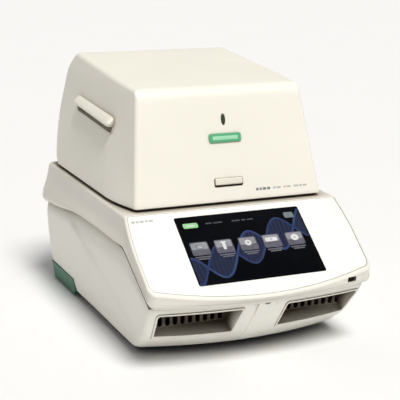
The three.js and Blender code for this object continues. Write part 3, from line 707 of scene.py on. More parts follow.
def head_outline(z, inset=0.0):
    front = LID_FRONT_Y + (z - LID_Z) * math.tan(LID_LEAN) + inset
    nose = table(HEAD["nose"], z) - inset
    half = table(HEAD["half"], z - 8) - inset
    rear = table(HEAD["rear"], z) - inset
    crease, crease_y = table(HEAD["crease"], z) - inset, table(HEAD["crease_y"], z)
    front_r = max(2.0, HEAD_FRONT_CORNER - max(0, inset))
    rear_r = max(4.0, HEAD_REAR_CORNER - max(0, inset))
    ys = np.linspace(front + front_r, rear - rear_r, 41)
    side = np.column_stack([soft_line(ys, [ys[0], crease_y, ys[-1]], [nose, crease, half], 26), ys])
    right = [
        np.column_stack([np.linspace(0, nose - front_r, 13), np.full(13, front)]),
        arc(nose - front_r, front + front_r, front_r, -math.pi / 2, 8)[1:-1],
        side,
        arc(half - rear_r, rear - rear_r, rear_r, 0, 12)[1:],
        np.column_stack([np.linspace(half - rear_r, 0, 10)[1:], np.full(9, rear)]),
    ]
    return mirrored(np.concatenate(right))


def head_wall(inset=0.0):
    return Wall(lambda z: head_outline(z, inset), 176, 380, 140, 3)


def head_rows(inset, bottom):
    """Rings up the wall, round its upper edge and on to the top; the edge is softest behind."""
    wall = head_wall(inset)
    level = lambda x, y: head_top(y) - inset
    top = wall.on(level)
    facing = outward(top)
    back = np.clip(facing[:, 1], 0, 1)
    front = np.clip(-facing[:, 1], 0, 1)
    reach = 6.5 + 7.5 * front**2 + 14 * back**2
    start = wall.at(top[:, 2] - reach)
    shallow, deep = (
        Wall(lambda z, i=i: head_outline(z, inset + i), 300, 380, 60, 2) for i in (4, 22)
    )
    share = ((reach - 4) / 18)[:, None]
    end = shallow.on(level) * (1 - share) + deep.on(level) * share
    rows = []
    for k in range(26):
        share_up = (k / 25) ** 0.9
        rows.append(wall.at(bottom + (start[:, 2] - bottom) * share_up))
    for t in np.linspace(0, 1, 9)[1:]:
        rows.append(start * (1 - t) ** 2 + top * 2 * t * (1 - t) + end * t**2)
    centre = np.array([0.0, (LID_TOP_FRONT[0] + LID_TOP_REAR[0]) / 2])
    for t in (0.12, 0.3, 0.5, 0.7, 0.86):
        flat = end[:, :2] * (1 - t) + centre * t
        bulge = HEAD_BULGE * (1 - (1 - t) ** 2)
        rows.append(np.column_stack([flat, head_top(flat[:, 1]) - inset + bulge]))
    return rows


HEAD_WALL = 3.0
GRIP = {"y": 66.0, "length": 148.0, "x": 137.0, "z": 284.5, "height": 24.0, "reach": 26.0}
GRIP_TILT = math.atan(LID_TOP_SLOPE) * 0.75
BUTTON_UP, BADGE_UP, LENS_UP, PRINT_UP = 27.2, 85.5, 110.5, 13.0  # up the head's front face
BUTTON_SIZE = (40.0, 9.0)


def at_grip(obj, side):
    """Moves a piece drawn for the right grip, x outwards and y back, into its place."""
    place(obj, moved(GRIP["x"], GRIP["y"], GRIP["z"]) @ turned(GRIP_TILT))
    if side < 0:
        place(obj, Matrix.Diagonal((-1, 1, 1, 1)))
        tidy_mesh(obj)
    return obj


def side_prism(name, outline, x0, x1, **edges):
    """Plate of a (y, z) outline that reaches from x0 to x1."""
    obj = slab(name, outline, x0, x1, **edges)
    return place(obj, Matrix(((0, 0, 1, 0), (1, 0, 0, 0), (0, 1, 0, 0), (0, 0, 0, 1))))


def face_prism(name, outline, y0, y1, **edges):
    """Plate of an (x, z) outline that reaches from y1 forward to y0."""
    obj = slab(name, outline, -y1, -y0, **edges)
    return place(obj, Matrix(((1, 0, 0, 0), (0, 0, -1, 0), (0, 1, 0, 0), (0, 0, 0, 1))))


def head_shell():
    """Hollow cover of the optics head, open where the grips, the button and the window go."""
    outer = head_rows(0.0, LID_Z + 1.2)
    inner = head_rows(HEAD_WALL, LID_Z + 1.0)
    edge = ((HEAD_WALL, 0.2), (HEAD_WALL - 0.5, 0), (0.9, 0), (0.3, 0.35))
    lip = [head_wall(inset).at(LID_Z + up) for inset, up in edge]
    shell = skin("head_cover", [*inner[::-1], *lip, *outer], 24)
    cutters = []
    for side in (-1, 1):
        opening = rounded_rect(GRIP["length"], GRIP["height"], 7)
        cutters.append(at_grip(side_prism("grip_cut", opening, -GRIP["reach"], 20), side))
    mouth = rounded_rect(BUTTON_SIZE[0] + 2.4, BUTTON_SIZE[1] + 3.2, 2.4)
    well = slab("button_cut", mouth, -12, 12)
    cutters.append(place(well, on_head_face(-0.4, BUTTON_UP - 1.2)))
    eye = slab("lens_cut", ellipse(3.2, 8.2), -12, 12)
    cutters.append(place(eye, on_head_face(0, LENS_UP)))
    carve(shell, *cutters, sharp=24)
    weigh_normals(shell)
    return finish_piece(shell, MATS["head"], "head", ["head_shell"])


GRIP_BAR = [
    (-9, -2.6), (-3, -1.8), (2.2, -0.6), (4.9, 0.6), (6.0, 2.2), (6.0, 3.6),
    (5.0, 5.2), (2.4, 8.0), (-0.2, 10.6), (-2.6, 12.9), (-9, 12.9),
]  # section, out of the side and up
GRIP_BAR_CENTRE = (-2.0, 6.0)


def grip(side):
    """Finger cup with a rounded bar over its upper half."""
    name = f"grip_{hand(side)}"
    length, height = GRIP["length"] - 0.8, GRIP["height"] - 0.8
    cup = side_prism(name + "_cup", rounded_rect(length, height, 6.6), -GRIP["reach"], 8)
    hollow = rounded_rect(length - 3.6, height - 3.6, 5)
    carve(cup, side_prism("cup_cut", hollow, -GRIP["reach"] + 2, 20, bottom=4.5, steps=5))
    at_grip(cup, side)
    cut(cup, skin("limit", head_rows(-0.7, LID_Z - 5), 24), keep=True)
    tidy_mesh(cup, 28)

    section, centre = np.array(GRIP_BAR), np.array(GRIP_BAR_CENTRE)
    half, taper = GRIP["length"] / 2 + 0.4, 7
    rows = []
    for t in np.linspace(-1, 1, 41):
        y = half * math.sin(t * math.pi / 2)
        edge = max(0.0, (abs(y) - (half - taper)) / taper)
        scale = math.sqrt(max(1e-4, 1 - edge**2)) if edge else 1.0
        ring = centre + (section - centre) * np.array([0.35 + 0.65 * scale, 0.25 + 0.75 * scale])
        rows.append(np.column_stack([ring[:, 0], np.full(len(ring), y), ring[:, 1]]))
    bar = at_grip(skin("grip_bar", rows, 40), side)
    round_off = bar.modifiers.new("round", "SUBSURF")
    round_off.levels = round_off.render_levels = 1
    apply_modifiers(bar)
    piece = weigh_normals(merged(name + "_cup_and_bar", [cup, bar]))
    return finish_piece(piece, MATS["head"], "head", [name])


def printed(name, dashes, radius, top, matrix, body):
    """Generic printed line of (x, width, height, material) dashes in place of lettering."""
    marks = []
    for x, width, height, material in dashes:
        mark = slab("dash", rounded_rect(width, height, radius, 3), 0.02, top)
        marks.append(place(painted(mark, MATS[material]), moved(x + width / 2)))
    return finish_piece(place(merged(name, marks), matrix), None, body)


def head_front_details():
    """Button, badge, status window and printed line on the head's front face."""
    width, height = BUTTON_SIZE
    button = slab("lid_button_cap", rounded_rect(width, height, 2.0), -6, 1.9, top=1.5, steps=5)
    place(button, on_head_face(0, BUTTON_UP))
    finish_piece(button, MATS["button"], "button", ["lid_button"])

    # painted shade: the well's dark brown shows in the gap round the button
    well = slab("button_well", rounded_rect(width + 8, height + 11, 4), -9, -3.2)
    carve(well, slab("well_cut", rounded_rect(width + 1.4, height + 1.4, 2.4), -7.9, 0))
    place(well, on_head_face(0, BUTTON_UP))
    finish_piece(well, MATS["recess"], "head", ["button_frame"])

    plate = slab("badge_plate", rounded_rect(47, 12, 3), 0.25, 1.5, top=0.5)
    inlay = slab("inlay", rounded_rect(37, 5.2, 1.2), 1.4, 1.75, top=0.15, steps=2)
    layers = [painted(plate, MATS["badge"]), painted(inlay, MATS["badge_pale"])]
    badge = place(merged("badge_plate_and_inlays", layers), on_head_face(0, BADGE_UP))
    finish_piece(badge, None, "head", ["badge"])

    dome = ((1.0, -2.5), (1.0, 0.1), (0.93, 0.5), (0.75, 0.85), (0.45, 1.05))
    lens_rows = [at_height(ellipse(2.9 * radius, 7.9 * radius), z) for radius, z in dome]
    lens = place(skin("status_window", lens_rows, 60), on_head_face(0, LENS_UP))
    finish_piece(lens, MATS["lens"], "head", ["status_lens"])

    x, dashes = 39.0, []
    for group, height, material in (
        ((4, 3, 5, 4.5), 3.3, "print_grey"),
        ((1.5, 4, 6, 1.5, 3, 6, 1.5, 7, 4, 6), 2.2, "print_light"),
    ):
        for width in group:
            if width > 2:  # a narrow one is a word gap
                dashes.append((x, width, height, material))
            x += width + 1.6
    printed("printed_line_head", dashes, 0.7, 0.12, on_head_face(0, PRINT_UP), "head")


# ------------------------------ base shells
DECK_Z = 168.0
BLOCK_LOW, BLOCK_HIGH = mm_box("sample_block")
BLOCK_Y = (BLOCK_LOW[1] + BLOCK_HIGH[1]) / 2
BLOCK_HOLE = rounded_polygon(
    [(-72, BLOCK_Y - 51), (72, BLOCK_Y - 51), (72, BLOCK_Y + 51), (-72, BLOCK_Y + 51)], 3
)
USB = (124.0, -216.0, 97.0)
USB_RISE = 1.8


def usb_prism(name, half_width, half_height, z0, z1, radius=1.0):
    """Rounded prism in the frame of the data port, z out of the bezel."""
    outline = rounded_rect(2 * half_width, 2 * half_height, radius)
    frame_of_port = moved(*USB) @ turned(0.2, "Z") @ turned(math.pi / 2 - 0.25)
    return place(slab(name, outline, z0, z1), frame_of_port @ moved(0, USB_RISE))


def usb_cutter():
    return usb_prism("usb_cut", 7.3, 3.3, -24, 12)


def fascia_outline(inset):
    """Outline of the sloping panel in its own plane, centred on the screen."""
    ring = cover_wall(inset).on(top_level)
    top_y = PANEL_TOP_Y - 1
    half = np.interp(top_y, ring[: len(ring) // 2, 1], ring[: len(ring) // 2, 0])
    count = len(ring)
    lower = [i for i in range(-count // 2, count // 2) if ring[i, 1] < top_y - 2]
    points = [ring[i, :2] for i in lower]
    corner = 2.0
    points += [(half, top_y - corner), (half - 0.6, top_y - 0.6), (half - corner, top_y)]
    points += [(-half + corner, top_y), (-half + 0.6, top_y - 0.6), (-half, top_y - corner)]
    points = np.array(points)
    return np.column_stack([points[:, 0], (points[:, 1] - SCREEN_Y) / math.cos(PANEL_SLOPE)])


LOBE_START_Y, LOBE_LENGTH = 40, 150  # where the ridge grows into its rear lobe
FLANK_HOLLOW = (  # share of the flank's height, and how far the flank is hollowed there
    (0.14, -0.65), (0.2, -1.15), (0.28, -1.45), (0.38, -1.5), (0.5, -1.3), (0.65, -0.9),
    (0.78, -0.45),
)


def upper_cover():
    """Cover with its soft ridge, slanting flank, flat rim and sloping panel seat."""
    wall = cover_wall()
    ridge = wall.on(ridge_level)
    corner = wall.on(top_level)
    rim = cover_wall(4.2).on(top_level)
    rise = corner[:, 2] - ridge[:, 2]
    facing = outward(ridge)
    back = np.clip((ridge[:, 1] - LOBE_START_Y) / LOBE_LENGTH, 0, 1)
    back = back**2 * (3 - 2 * back)
    swell = np.clip(rise / FLANK, 0.35, 1) * (1 + 1.7 * back * facing[:, 0] ** 2)
    roll, lift = 5.6 + 6.4 * back, 1.4 - 5.5 * back

    def beside(z, out):
        ring = wall.at(z)
        return ring + facing * np.reshape(out, (-1, 1))

    rows = [beside(ridge[:, 2] - 1.5, -13.5 * np.clip(rise / FLANK, 0.6, 1))]
    for angle in np.radians(np.arange(-80, 21, 10)):
        z = ridge[:, 2] + roll * math.sin(angle) + lift
        rows.append(beside(z, roll * (math.cos(angle) - 1)))
    for share, out in FLANK_HOLLOW:
        rows.append(beside(ridge[:, 2] + rise * share, out * swell))
    start = wall.at(corner[:, 2] - np.minimum(3.6, rise * 0.2))
    for t in np.linspace(0, 1, 8):
        rows.append(start * (1 - t) ** 2 + corner * 2 * t * (1 - t) + rim * t**2)

    count = len(rim)
    faces = strip_faces(len(rows), count)
    last = (len(rows) - 1) * count
    on_rim = [i for i in range(count) if rim[i, 1] >= PANEL_TOP_Y - 0.01]
    right = [i for i in on_rim if i < count // 2 + 1]
    left = [i for i in on_rim if i >= count // 2 + 1]
    panel = [*range(left[-1], count), *range(right[0] + 1)]
    for cap in (right + left, panel):
        faces.append(tuple(last + i for i in cap))
    faces.append(tuple(reversed(range(count))))
    cover = new_object("top_cover", np.concatenate(rows), faces, 30)

    slot_x = sum(corner[0] for corner in mm_box("lid_screw")) / 2
    slot = [(slot_x - 8, 4), (slot_x + 8, 4), (slot_x + 8, 166), (slot_x - 8, 166)]
    cutters = [
        slab("pocket_cut", head_outline(LID_Z, POCKET_INSET), DECK_Z, 205),
        slab("block_cut", BLOCK_HOLE, 120, DECK_Z + 10),
        slab("arm_cut", rounded_polygon(slot, 3), 120, DECK_Z + 10),
        place(slab("seat_cut", fascia_outline(3.1), -3.4, 10), on_panel()),
        place(slab("window_cut", rounded_rect(190, 118, 3), -40, 5), on_panel()),
        usb_cutter(),
        slab("under_cut", inset_outline(head_outline(LID_Z, 4), 2), 100, DECK_Z - 3.5),
    ]
    carve(cover, *cutters, sharp=30)
    weigh_normals(cover)
    return finish_piece(cover, MATS["base"], "base", ["upper_cover"])


SHADOW_END_Y = -66  # the painted shadow strip thins out towards this y, and is tall in front of the next y
SHADOW_STEEP_Y = -108
SHADOW_DROP = 3.7


def shadow_strip(side):
    """Dark strip of painted shadow under the cover's ridge, along the front slope of one side."""
    wall = cover_wall()
    ridge = wall.on(ridge_level)
    facing = outward(ridge)
    run = [i for i, y in enumerate(ridge[:, 1]) if y < SHADOW_END_Y and facing[i, 0] * side > 0.9]
    rows = []
    for i in sorted(run, key=lambda i: ridge[i, 1]):
        y = ridge[i, 1]
        full = min(1.0, (SHADOW_END_Y - y) / 45, max(0.0, (facing[i, 0] * side - 0.9) / 0.08))
        steep = min(1.0, max(0.0, (SHADOW_STEEP_Y - y) / 16))
        tall, sunk = 0.4 + (1.4 + 5.0 * steep) * full, 4.4 - 1.6 * full
        low = SHADOW_DROP + tall
        section = (
            (sunk, SHADOW_DROP), (sunk + 0.1, SHADOW_DROP + tall * 0.7), (sunk + 0.7, low),
            (9.0, low), (9.0, SHADOW_DROP),
        )
        point = wall.at(ridge[i, 2])[i]
        rows.append(np.array([point + facing[i] * -out - [0, 0, down] for out, down in section]))
    seal = weigh_normals(skin(f"shadow_strip_{hand(side)}", rows, 40))
    return finish_piece(seal, MATS["seal"], "base")


def usb_port():
    """Steel shell of the data port with its dark tongue."""
    shell = usb_prism("usb_shell", 7.0, 3.0, -18, -0.4, 0.8)
    carve(shell, usb_prism("usb_hollow", 6.5, 2.5, -17, 5, 0.5))
    tongue = usb_prism("usb_tongue", 5.4, 0.8, -17.5, -3, 0.3)
    port = merged("usb_port_shell", [painted(shell, MATS["tin"]), painted(tongue, MATS["dark"])])
    return finish_piece(port, None, "base", ["usb_port_front"])


def front_fascia():
    plate = slab("panel_fascia", fascia_outline(3.55), -3.0, 0.0, top=0.9)
    width, height = SCREEN_SIZE
    carve(plate, slab("window_cut", rounded_rect(width + 0.8, height + 0.8, 3), -10, 5))
    weigh_normals(place(plate, on_panel()))
    return finish_piece(plate, MATS["fascia"], "base", ["front_fascia"])


VENT_BACK_Y = -162.0
VENT_INNER, VENT_OUTER, VENT_LOW, VENT_HIGH = 32, 143, 35, 76.5
VENT_SLOTS = 10


def vent_outline(side, grow, radius=4.0):
    """Outline of a front opening in x and z, larger by grow."""
    inner, outer = VENT_INNER - grow, VENT_OUTER + grow
    low, high = VENT_LOW - grow, VENT_HIGH + grow
    points = [(inner + 1.5, low), (outer - 6, low), (outer, high), (inner, high)]
    outline = rounded_polygon(points, radius, 6)
    return outline if side > 0 else (outline * np.array([-1, 1]))[::-1]


def foot_level(x, y):
    """Lower edge of the housing: level in front, stepped up over the rear skirt."""
    return np.interp(y, [-260, 109, 115, 260], [12, 12, 28, 28])


# the soft crease on each side, low in front and rising to the rear
CREASE_Z = (12, 28, 44, 65, 98, 120)
CREASE_Y = (-140, -128, -109, -50, 45, 110)
CREASE_DEPTH = 1.5


def lower_housing():
    """Housing under the ridge, hollowed under it, with its openings."""
    wall, inner = housing_wall(), housing_wall(3.5)
    bottom = wall.on(foot_level)
    top = wall.on(lambda x, y: ridge_level(x, y, 0.6))
    height = top[:, 2] - bottom[:, 2]
    facing = outward(top)
    sideways = facing[:, 0] ** 2
    cove = np.clip(height / 110, 0.3, 1) * (2.2 + 6.4 * sideways)

    def shaped(wall, share):
        """Ring at a share of the height, with the cove under the ridge and the soft side crease."""
        ring = wall.at(bottom[:, 2] + height * share)
        up = min(1.0, max(0.0, (share - 0.72) / 0.28))
        ahead = np.clip((np.interp(ring[:, 2], CREASE_Z, CREASE_Y) - ring[:, 1]) / 20, 0, 1)
        fade = np.clip((1 - share) / 0.2, 0, 1)
        step = CREASE_DEPTH * sideways * ahead**2 * (3 - 2 * ahead) * fade
        return ring - facing * (cove * up**1.5 + step)[:, None]

    rows = [shaped(inner, 1.0) - [0, 0, 0.4]]
    rows += [shaped(inner, share) for share in (0.93, 0.86, 0.78, 0.5, 0.25)]
    rows += [inner.at(bottom[:, 2] + 0.3)]
    for out, up in ((-2.6, 0.0), (-1.2, 0.0), (-0.35, 0.35), (0.0, 1.2)):
        rows.append(wall.at(bottom[:, 2] + up) + facing * out)
    for share in (*np.linspace(0.04, 0.72, 24), *np.linspace(0.75, 1.0, 11)):
        rows.append(shaped(wall, share))
    count = len(bottom)
    faces = strip_faces(len(rows), count)
    last = (len(rows) - 1) * count
    faces += [(last + i, last + (i + 1) % count, (i + 1) % count, i) for i in range(count)]
    housing = new_object("lower_shell", np.concatenate(rows), faces, 26)
    cutters = [face_prism("vent_cut", vent_outline(side, 2.9), -270, -140) for side in (-1, 1)]
    window = rounded_polygon([(-142, 30), (142, 30), (142, 130), (-142, 130)], 4)
    cutters.append(face_prism("rear_cut", window, 200, 250))
    cutters.append(usb_cutter())
    carve(housing, *cutters, sharp=26)
    weigh_normals(housing)
    return finish_piece(housing, MATS["housing"], "base", ["lower_housing"])


def intake(side):
    """Air intake: a lip round the opening, sloping floor and a back wall of rounded slots."""
    body = face_prism(f"intake_{hand(side)}", vent_outline(side, 2.5), -250, VENT_BACK_Y + 3)
    face = housing_wall(-0.9)
    cut(body, skin("limit", [face.at(z) for z in np.linspace(20, 96, 40)]), keep=True)

    hollow = face_prism("hollow_cut", vent_outline(side, 0, 3.0), -260, VENT_BACK_Y)
    floor_line = [
        (-275, 20), (-188, 35.2), (-177, 37.6), (VENT_BACK_Y - 4, 42.5), (VENT_BACK_Y, 46.5),
        (VENT_BACK_Y, 95), (-275, 95),
    ]
    cut(hollow, side_prism("space", np.array(floor_line), -170, 170), keep=True)
    cutters = [hollow]
    pitch = (VENT_OUTER - VENT_INNER - 5) / VENT_SLOTS
    for i in range(VENT_SLOTS):
        x = side * (VENT_INNER + 3 + pitch * (i + 0.5))
        slot = rounded_rect(6.6, 16.5, 3.2) + np.array([x, 55.6])
        cutters.append(face_prism("slot_cut", slot, VENT_BACK_Y - 3, VENT_BACK_Y + 8))
    carve(body, *cutters, sharp=30)
    bevel(body, 0.5, angle=50)
    return finish_piece(body, MATS["intake"], "base", [f"intake_grille_{hand(side)}"])


def centre_plate():
    """Raised plate between the two intakes, with a small notch in its upper edge."""
    right = [(11, 15), (12.5, 84), (4.5, 84), (3.2, 81.5)]
    points = [(-11, 15), *right, *((-x, z) for x, z in right[:0:-1])]
    plate = face_prism("centre_plate", rounded_polygon(points, 0.8, 3), -250, -130)
    face = housing_wall(-1.3)
    cut(plate, skin("limit", [face.at(z) for z in np.linspace(8, 92, 50)]), keep=True)
    tidy_mesh(plate, 30)
    bevel(plate, 0.6, 3)
    return finish_piece(plate, MATS["housing"], "base")


# ------------------------------ touch screen
SCREEN = {
    key: lit(f"picture_{key}", *look)
    for key, look in {
        "lobe": ((0.0020, 0.0045, 0.022), (0.003, 0.008, 0.030)),
        "strand": ((0.010, 0.028, 0.105), (0.028, 0.050, 0.12)),
        "strand_far": ((0.006, 0.018, 0.075), (0.015, 0.032, 0.09)),
        "rung": ((0.006, 0.014, 0.062), (0.004, 0.010, 0.042)),
        "tile": ((0.105, 0.10, 0.125), (0.06, 0.06, 0.075), 90),
        "tile_top": ((0.27, 0.27, 0.29), (0.16, 0.16, 0.18), 70),
        "label": ((0.11, 0.11, 0.13), (0.07, 0.07, 0.085), 300),
        "title": ((0.05, 0.055, 0.065), (0.025, 0.03, 0.035), 300),
        "green": ((0.27, 0.52, 0.25), (0.22, 0.45, 0.22)),
        "grey": ((0.15, 0.18, 0.19), (0.10, 0.13, 0.14)),
        "white": ((0.62, 0.62, 0.60), (0.50, 0.50, 0.49)),
    }.items()
}
GLYPHS = [  # per tile: outline, its place on the tile, colour
    [
        (rounded_rect(11, 8, 1.2), 0, 2.5, "grey"), (rounded_rect(9, 1.2, 0.5), 0, 4, "white"),
        (rounded_rect(9, 1.2, 0.5), 0, 1.4, "white"),
    ],
    [(rounded_rect(4.4, 12, 2.1), 0, 0.5, "white"), (rounded_rect(8, 2, 0.8), 0, 6.6, "white")],
    [(ellipse(4.6, 4.6, 24), 0, 1.2, "white"), (ellipse(2.0, 2.0, 24), 0, 1.2, "tile")],
    [
        (rounded_rect(17, 6, 1.4), 0, 2.4, "white"), (rounded_rect(3, 3, 0.6), -5, 2.4, "grey"),
        (rounded_rect(3, 3, 0.6), 0, 2.4, "grey"),
    ],
    [(ellipse(5.6, 5.0), 0, 1.5, "white"), (rounded_rect(5, 1.4, 0.6), 0, 1.5, "grey")],
]
RIBBON = {"slope": 0.35, "middle": -4, "swing": 25, "pitch": 94, "start": 1, "limit": 52.5}
TILE_START, TILE_PITCH, TILE_V = -70.5, 34.3, 2.4


def ribbon(points, width):
    """Outline of a strip along points."""
    points = np.array(points, float)
    along = unit(np.gradient(points, axis=0))
    side = np.column_stack([-along[:, 1], along[:, 0]])
    return np.concatenate([points - side * width / 2, (points + side * width / 2)[::-1]])


def touch_screen():
    """Glass and the display's picture on it, each figure at (u, v) mm from the middle."""
    glass = slab("touch_glass_plate", rounded_rect(*SCREEN_SIZE, 1.6), -2.5, -0.05, top=0.4)
    place(glass, on_panel())
    finish_piece(glass, MATS["glass"], "base", ["touch_glass"])
    pieces = []

    def show(name, outline, u, v, look, rise):
        piece = painted(slab(name, outline, 0.0, 0.03), SCREEN[look])
        pieces.append(place(piece, on_panel() @ moved(u, v, rise)))

    us = np.linspace(-89, 89, 179)
    middle = RIBBON["slope"] * us + RIBBON["middle"]
    swing = RIBBON["swing"] * np.cos(2 * math.pi * (us - RIBBON["start"]) / RIBBON["pitch"])
    first, second = (
        np.column_stack([us, np.clip(middle + sign * swing, -RIBBON["limit"], RIBBON["limit"])])
        for sign in (1, -1)
    )
    crossings = [i for i in range(1, len(us)) if swing[i] * swing[i - 1] <= 0]
    for start, end in zip([0, *crossings], [*crossings, len(us)]):
        lobe = np.concatenate([first[start:end], second[start:end][::-1]])
        show("lobe", lobe, 0, 0, "lobe", -0.02)
    show("strand", ribbon(first, 3.0), 0, 0, "strand", 0.035)
    show("strand", ribbon(second, 3.0), 0, 0, "strand_far", 0.045)
    for a, b in zip(first[3:-3:6], second[3:-3:6]):
        if np.linalg.norm(a - b) > 8:
            show("rung", ribbon([a, (a + b) / 2, b + [2, 0]], 1.7), 0, 0, "rung", 0.01)
    for i, glyphs in enumerate(GLYPHS):
        u = TILE_START + TILE_PITCH * i
        show("tile", rounded_rect(25, 21, 2.6), u, TILE_V, "tile", 0.09)
        show("tile_top", rounded_rect(22.6, 10.5, 2.0), u, TILE_V + 4, "tile_top", 0.13)
        for width, v in ((22, -11.0), (16, -14.0)):
            show("label", rounded_rect(width, 2.1, 0.8, 3), u, v, "label", 0.13)
        for outline, x, y, look in glyphs:
            show("glyph", outline, u + x, TILE_V + y, look, 0.18)
    show("pill", rounded_rect(21, 8, 2.2), -71.5, 40, "green", 0.09)
    show("pill_label", rounded_rect(12, 1.6, 0.7, 3), -71.5, 40, "white", 0.15)
    for x, width in ((-50, 9), (-39, 13), (-12, 12), (2, 6), (10, 9)):
        show("title", rounded_rect(width, 2.2, 0.8, 3), x + width / 2, 41, "title", 0.09)
    show("corner_button", rounded_rect(14, 9.5, 2.4), 72.5, 41.5, "grey", 0.09)
    return finish_piece(merged("screen_picture", pieces), None, "base")


# ------------------------------ thermal block
WELL_PITCH = 9.0
WELL = ((3.55, 0), (3.3, 0.12), (3.05, 0.55), (2.35, 8.5), (1.55, 13.2), (0.9, 14.0))
CORNERS = ((1, -1), (1, 1), (-1, 1), (-1, -1))


def sample_block():
    """Aluminium block with 96 conical wells, each with a countersunk mouth."""
    low, high = BLOCK_LOW, BLOCK_HIGH
    centre, top = (low + high) / 2, high[2]
    steps = 6
    count = 4 * steps
    square = [
        (sx + (nx - sx) * i / steps, sy + (ny - sy) * i / steps)
        for (sx, sy), (nx, ny) in zip(CORNERS, CORNERS[1:] + CORNERS[:1]) for i in range(steps)
    ]
    angles = -math.pi / 4 + 2 * math.pi * np.arange(count) / count
    verts, faces = [], []
    for row in range(8):
        for column in range(12):
            cx, cy = centre[0] + (column - 5.5) * WELL_PITCH, centre[1] + (row - 3.5) * WELL_PITCH
            start = len(verts)
            verts += [(cx + x * WELL_PITCH / 2, cy + y * WELL_PITCH / 2, top) for x, y in square]
            for r, depth in WELL:
                verts += [(cx + r * math.cos(a), cy + r * math.sin(a), top - depth) for a in angles]
            rings = strip_faces(len(WELL) + 1, count)
            faces += [tuple(start + i for i in face) for face in rings]
            faces.append(tuple(range(start + len(WELL) * count, start + (len(WELL) + 1) * count)))
    wells = new_object("well_plate", verts, faces, 40)

    hx, hy = (high[0] - low[0]) / 2, (high[1] - low[1]) / 2
    edge = 0.7
    rows = []
    for half_x, half_y, z in (
        (6 * WELL_PITCH, 4 * WELL_PITCH, top), (hx - edge, hy - edge, top),
        (hx - edge * 0.3, hy - edge * 0.3, top - edge * 0.3), (hx, hy, top - edge),
        (hx, hy, low[2]),
    ):
        ring = np.array(CORNERS) * (half_x, half_y)
        rows.append(at_height(ring + centre[:2], z))
    whole = merged("thermal_block", [wells, skin("block_rim", rows, 40, start=False)])
    tidy_mesh(whole, 40)
    return finish_piece(whole, MATS["block"], "base", ["sample_block"])


# ------------------------------ fans
BLADES = 7
SPAN_STEPS, CHORD_STEPS = 12, 8


def fan_rotor(side):
    """Seven swept blades on a domed hub."""
    node = f"fan_rotor_{hand(side)}"
    low, high = mm_box(node)
    radius, depth = (high[0] - low[0]) / 2 - 0.4, (high[1] - low[1]) - 1.0
    hub_r, end = radius * 0.42, depth / 2
    profile = [
        (0.0, -end), (hub_r - 0.5, -end), (hub_r, -end + 0.5), (hub_r, end - 2),
        (hub_r - 0.8, end - 0.6), (hub_r * 0.75, end - 0.1), (0.0, end),
    ]
    rings = [at_height(ellipse(r, r, 48), z) for r, z in profile]
    pieces = [skin("hub", rings, start=False, end=False)]
    across = range(CHORD_STEPS + 1)
    for k in range(BLADES):
        rows = []
        for i in range(SPAN_STEPS + 1):
            share = i / SPAN_STEPS
            r = hub_r - 0.6 + (radius - hub_r + 0.6) * i / SPAN_STEPS
            twist = 0.62 - 0.20 * i / SPAN_STEPS
            sweep, chord = 0.20 * share**1.5, 0.62 + 0.10 * math.sin(share * math.pi)
            ring = []
            for face, m in [(1, m) for m in across] + [(-1, m) for m in reversed(across)]:
                t = m / CHORD_STEPS - 0.5
                angle = 2 * math.pi * k / BLADES + sweep + chord * t
                thick = 0.55 * math.sqrt(max(0.0, 1 - (2 * t) ** 2))
                lift = math.sin(t * 2.4) * depth * twist * 0.62 + face * thick
                ring.append((r * math.cos(angle), r * math.sin(angle), lift))
            rows.append(np.array(ring))
        pieces.append(skin("blade", rows, 40))
    rotor = merged(f"fan_blades_{hand(side)}", pieces)
    place(rotor, moved(*(low + high) / 2) @ turned(math.pi / 2))
    return finish_piece(rotor, MATS["dark"], f"fan_{hand(side)}", [node])


# ------------------------------ CAD pieces that stay
KEPT = {  # material: edge rounding in mm and the nodes that get it
    "rubber": [(0.6, "foot_front_left foot_front_right foot_rear_left foot_rear_right")],
    "green": [(1.2, "rear_skirt")],
    "dark": [
        (0.3, "power_inlet fuse_drawer network_port"), (0.5, "power_rocker optics_shuttle"),
        (0.4, "rear_panel fan_frame_left fan_frame_right head_chassis display_module"),
        (0.6, "base_tray"),
    ],
    "frame_white": [(0.4, "block_frame nut_arm"), (0.5, "heater_frame")],
    # the light seal is real foam, and its darkness is also painted shade in the gap under the head
    "foam": [(0.5, "light_seal")],
    "steel": [(0.4, "rail_left rail_right"), (0.2, "optics_shaft_front optics_shaft_rear")],
    "screw": [(0.2, "lid_screw optics_screw")],
    "aluminium": [
        (0.2, "heat_sink"), (0.5, "carriage_left carriage_right"),
        (0.4, "heater_plate optics_bracket_left optics_bracket_right"),
    ],
    "tin": [(0.5, "power_supply"), (0.4, "lid_motor optics_motor")],
    "board": [(0.2, "control_board head_board")],
    "ceramic": [(0.2, "peltier_1 peltier_2 peltier_3 peltier_4 peltier_5 peltier_6")],
}
for look, groups in KEPT.items():
    for width, nodes in groups:
        for node in nodes.split():
            bevel(painted(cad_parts[node], MATS[look]), width)


# ------------------------------ assembly
head_shell()
for side in (-1, 1):
    grip(side)
    intake(side)
    shadow_strip(side)
    fan_rotor(side)
head_front_details()
upper_cover()
lower_housing()
centre_plate()
front_fascia()
usb_port()
touch_screen()
sample_block()
PANEL_DASHES = ((-149, 5), (-142.8, 4), (-137.6, 6), (-130, 3.5), (-125.2, 6))
dashes = [(x, width, 3.2, "print_light") for x, width in PANEL_DASHES]
printed("printed_line_panel", dashes, 0.9, 0.10, on_panel(-120.5), "base")


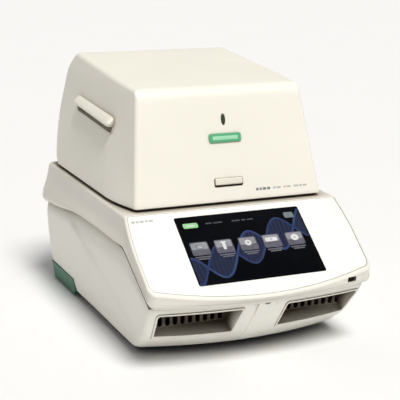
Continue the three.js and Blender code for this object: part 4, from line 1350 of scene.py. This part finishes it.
# ------------------------------ floor, camera and light
def floor_material():
    material, tree, shader = new_material("studio_paper")
    paper = mixed(tree, noise(tree, 3.0), (0.82, 0.82, 0.82), (0.84, 0.84, 0.84))
    feed(tree, shader, Base_Color=paper, Roughness=0.75, Specular_IOR_Level=0.25)
    return material


bpy.ops.mesh.primitive_plane_add(size=40)
floor = bpy.context.object
floor.name = "floor"
painted(floor, floor_material())

CAMERA_PLACE = (-0.6439, -1.4477, 0.5779)
AZIMUTH, ELEVATION, ROLL = math.radians(-23.99), math.radians(14.62), math.radians(0.975)
SUN_TRAVEL = (-0.045, 0.45, -0.89)
BACKDROP = 0.93  # brightness of the world where the camera sees it

flat = math.cos(ELEVATION)
forward = Vector((-math.sin(AZIMUTH) * flat, math.cos(AZIMUTH) * flat, -math.sin(ELEVATION)))
right = Vector((math.cos(AZIMUTH), math.sin(AZIMUTH), 0))
above = right.cross(forward)
across = math.cos(ROLL) * right + math.sin(ROLL) * above
upright = math.cos(ROLL) * above - math.sin(ROLL) * right
camera = linked("camera", bpy.data.cameras.new("camera"))
aim = Matrix((across, upright, -forward)).transposed().to_4x4()
camera.matrix_world = Matrix.Translation(CAMERA_PLACE) @ aim
camera.data.lens = 103.52
camera.data.sensor_width = 36
camera.data.clip_end = 50
bpy.context.scene.camera = camera

sun = linked("key", bpy.data.lights.new("key", "SUN"))
sun.data.energy = 2.95
sun.data.angle = math.radians(20)
sun.data.color = (1.0, 0.99, 0.965)
sun.rotation_euler = Vector(SUN_TRAVEL).to_track_quat("-Z", "Y").to_euler()

world = bpy.data.worlds.new("studio")
world.use_nodes = True
tree = world.node_tree
sky = tree.nodes["Background"]
height = axes(tree, add_node(tree, "TexCoord").outputs["Generated"])[2]
seen = add_node(tree, "LightPath").outputs["Is Camera Ray"]
light, backdrop = ranged(tree, height, 0.05, 0.50), ranged(tree, seen, 0.0, BACKDROP)
level = combined(tree, "MAXIMUM", light, backdrop)
feed(tree, sky, Color=(1.0, 0.995, 0.98, 1), Strength=level)
bpy.context.scene.world = world
bpy.context.scene.view_settings.view_transform = "Standard"
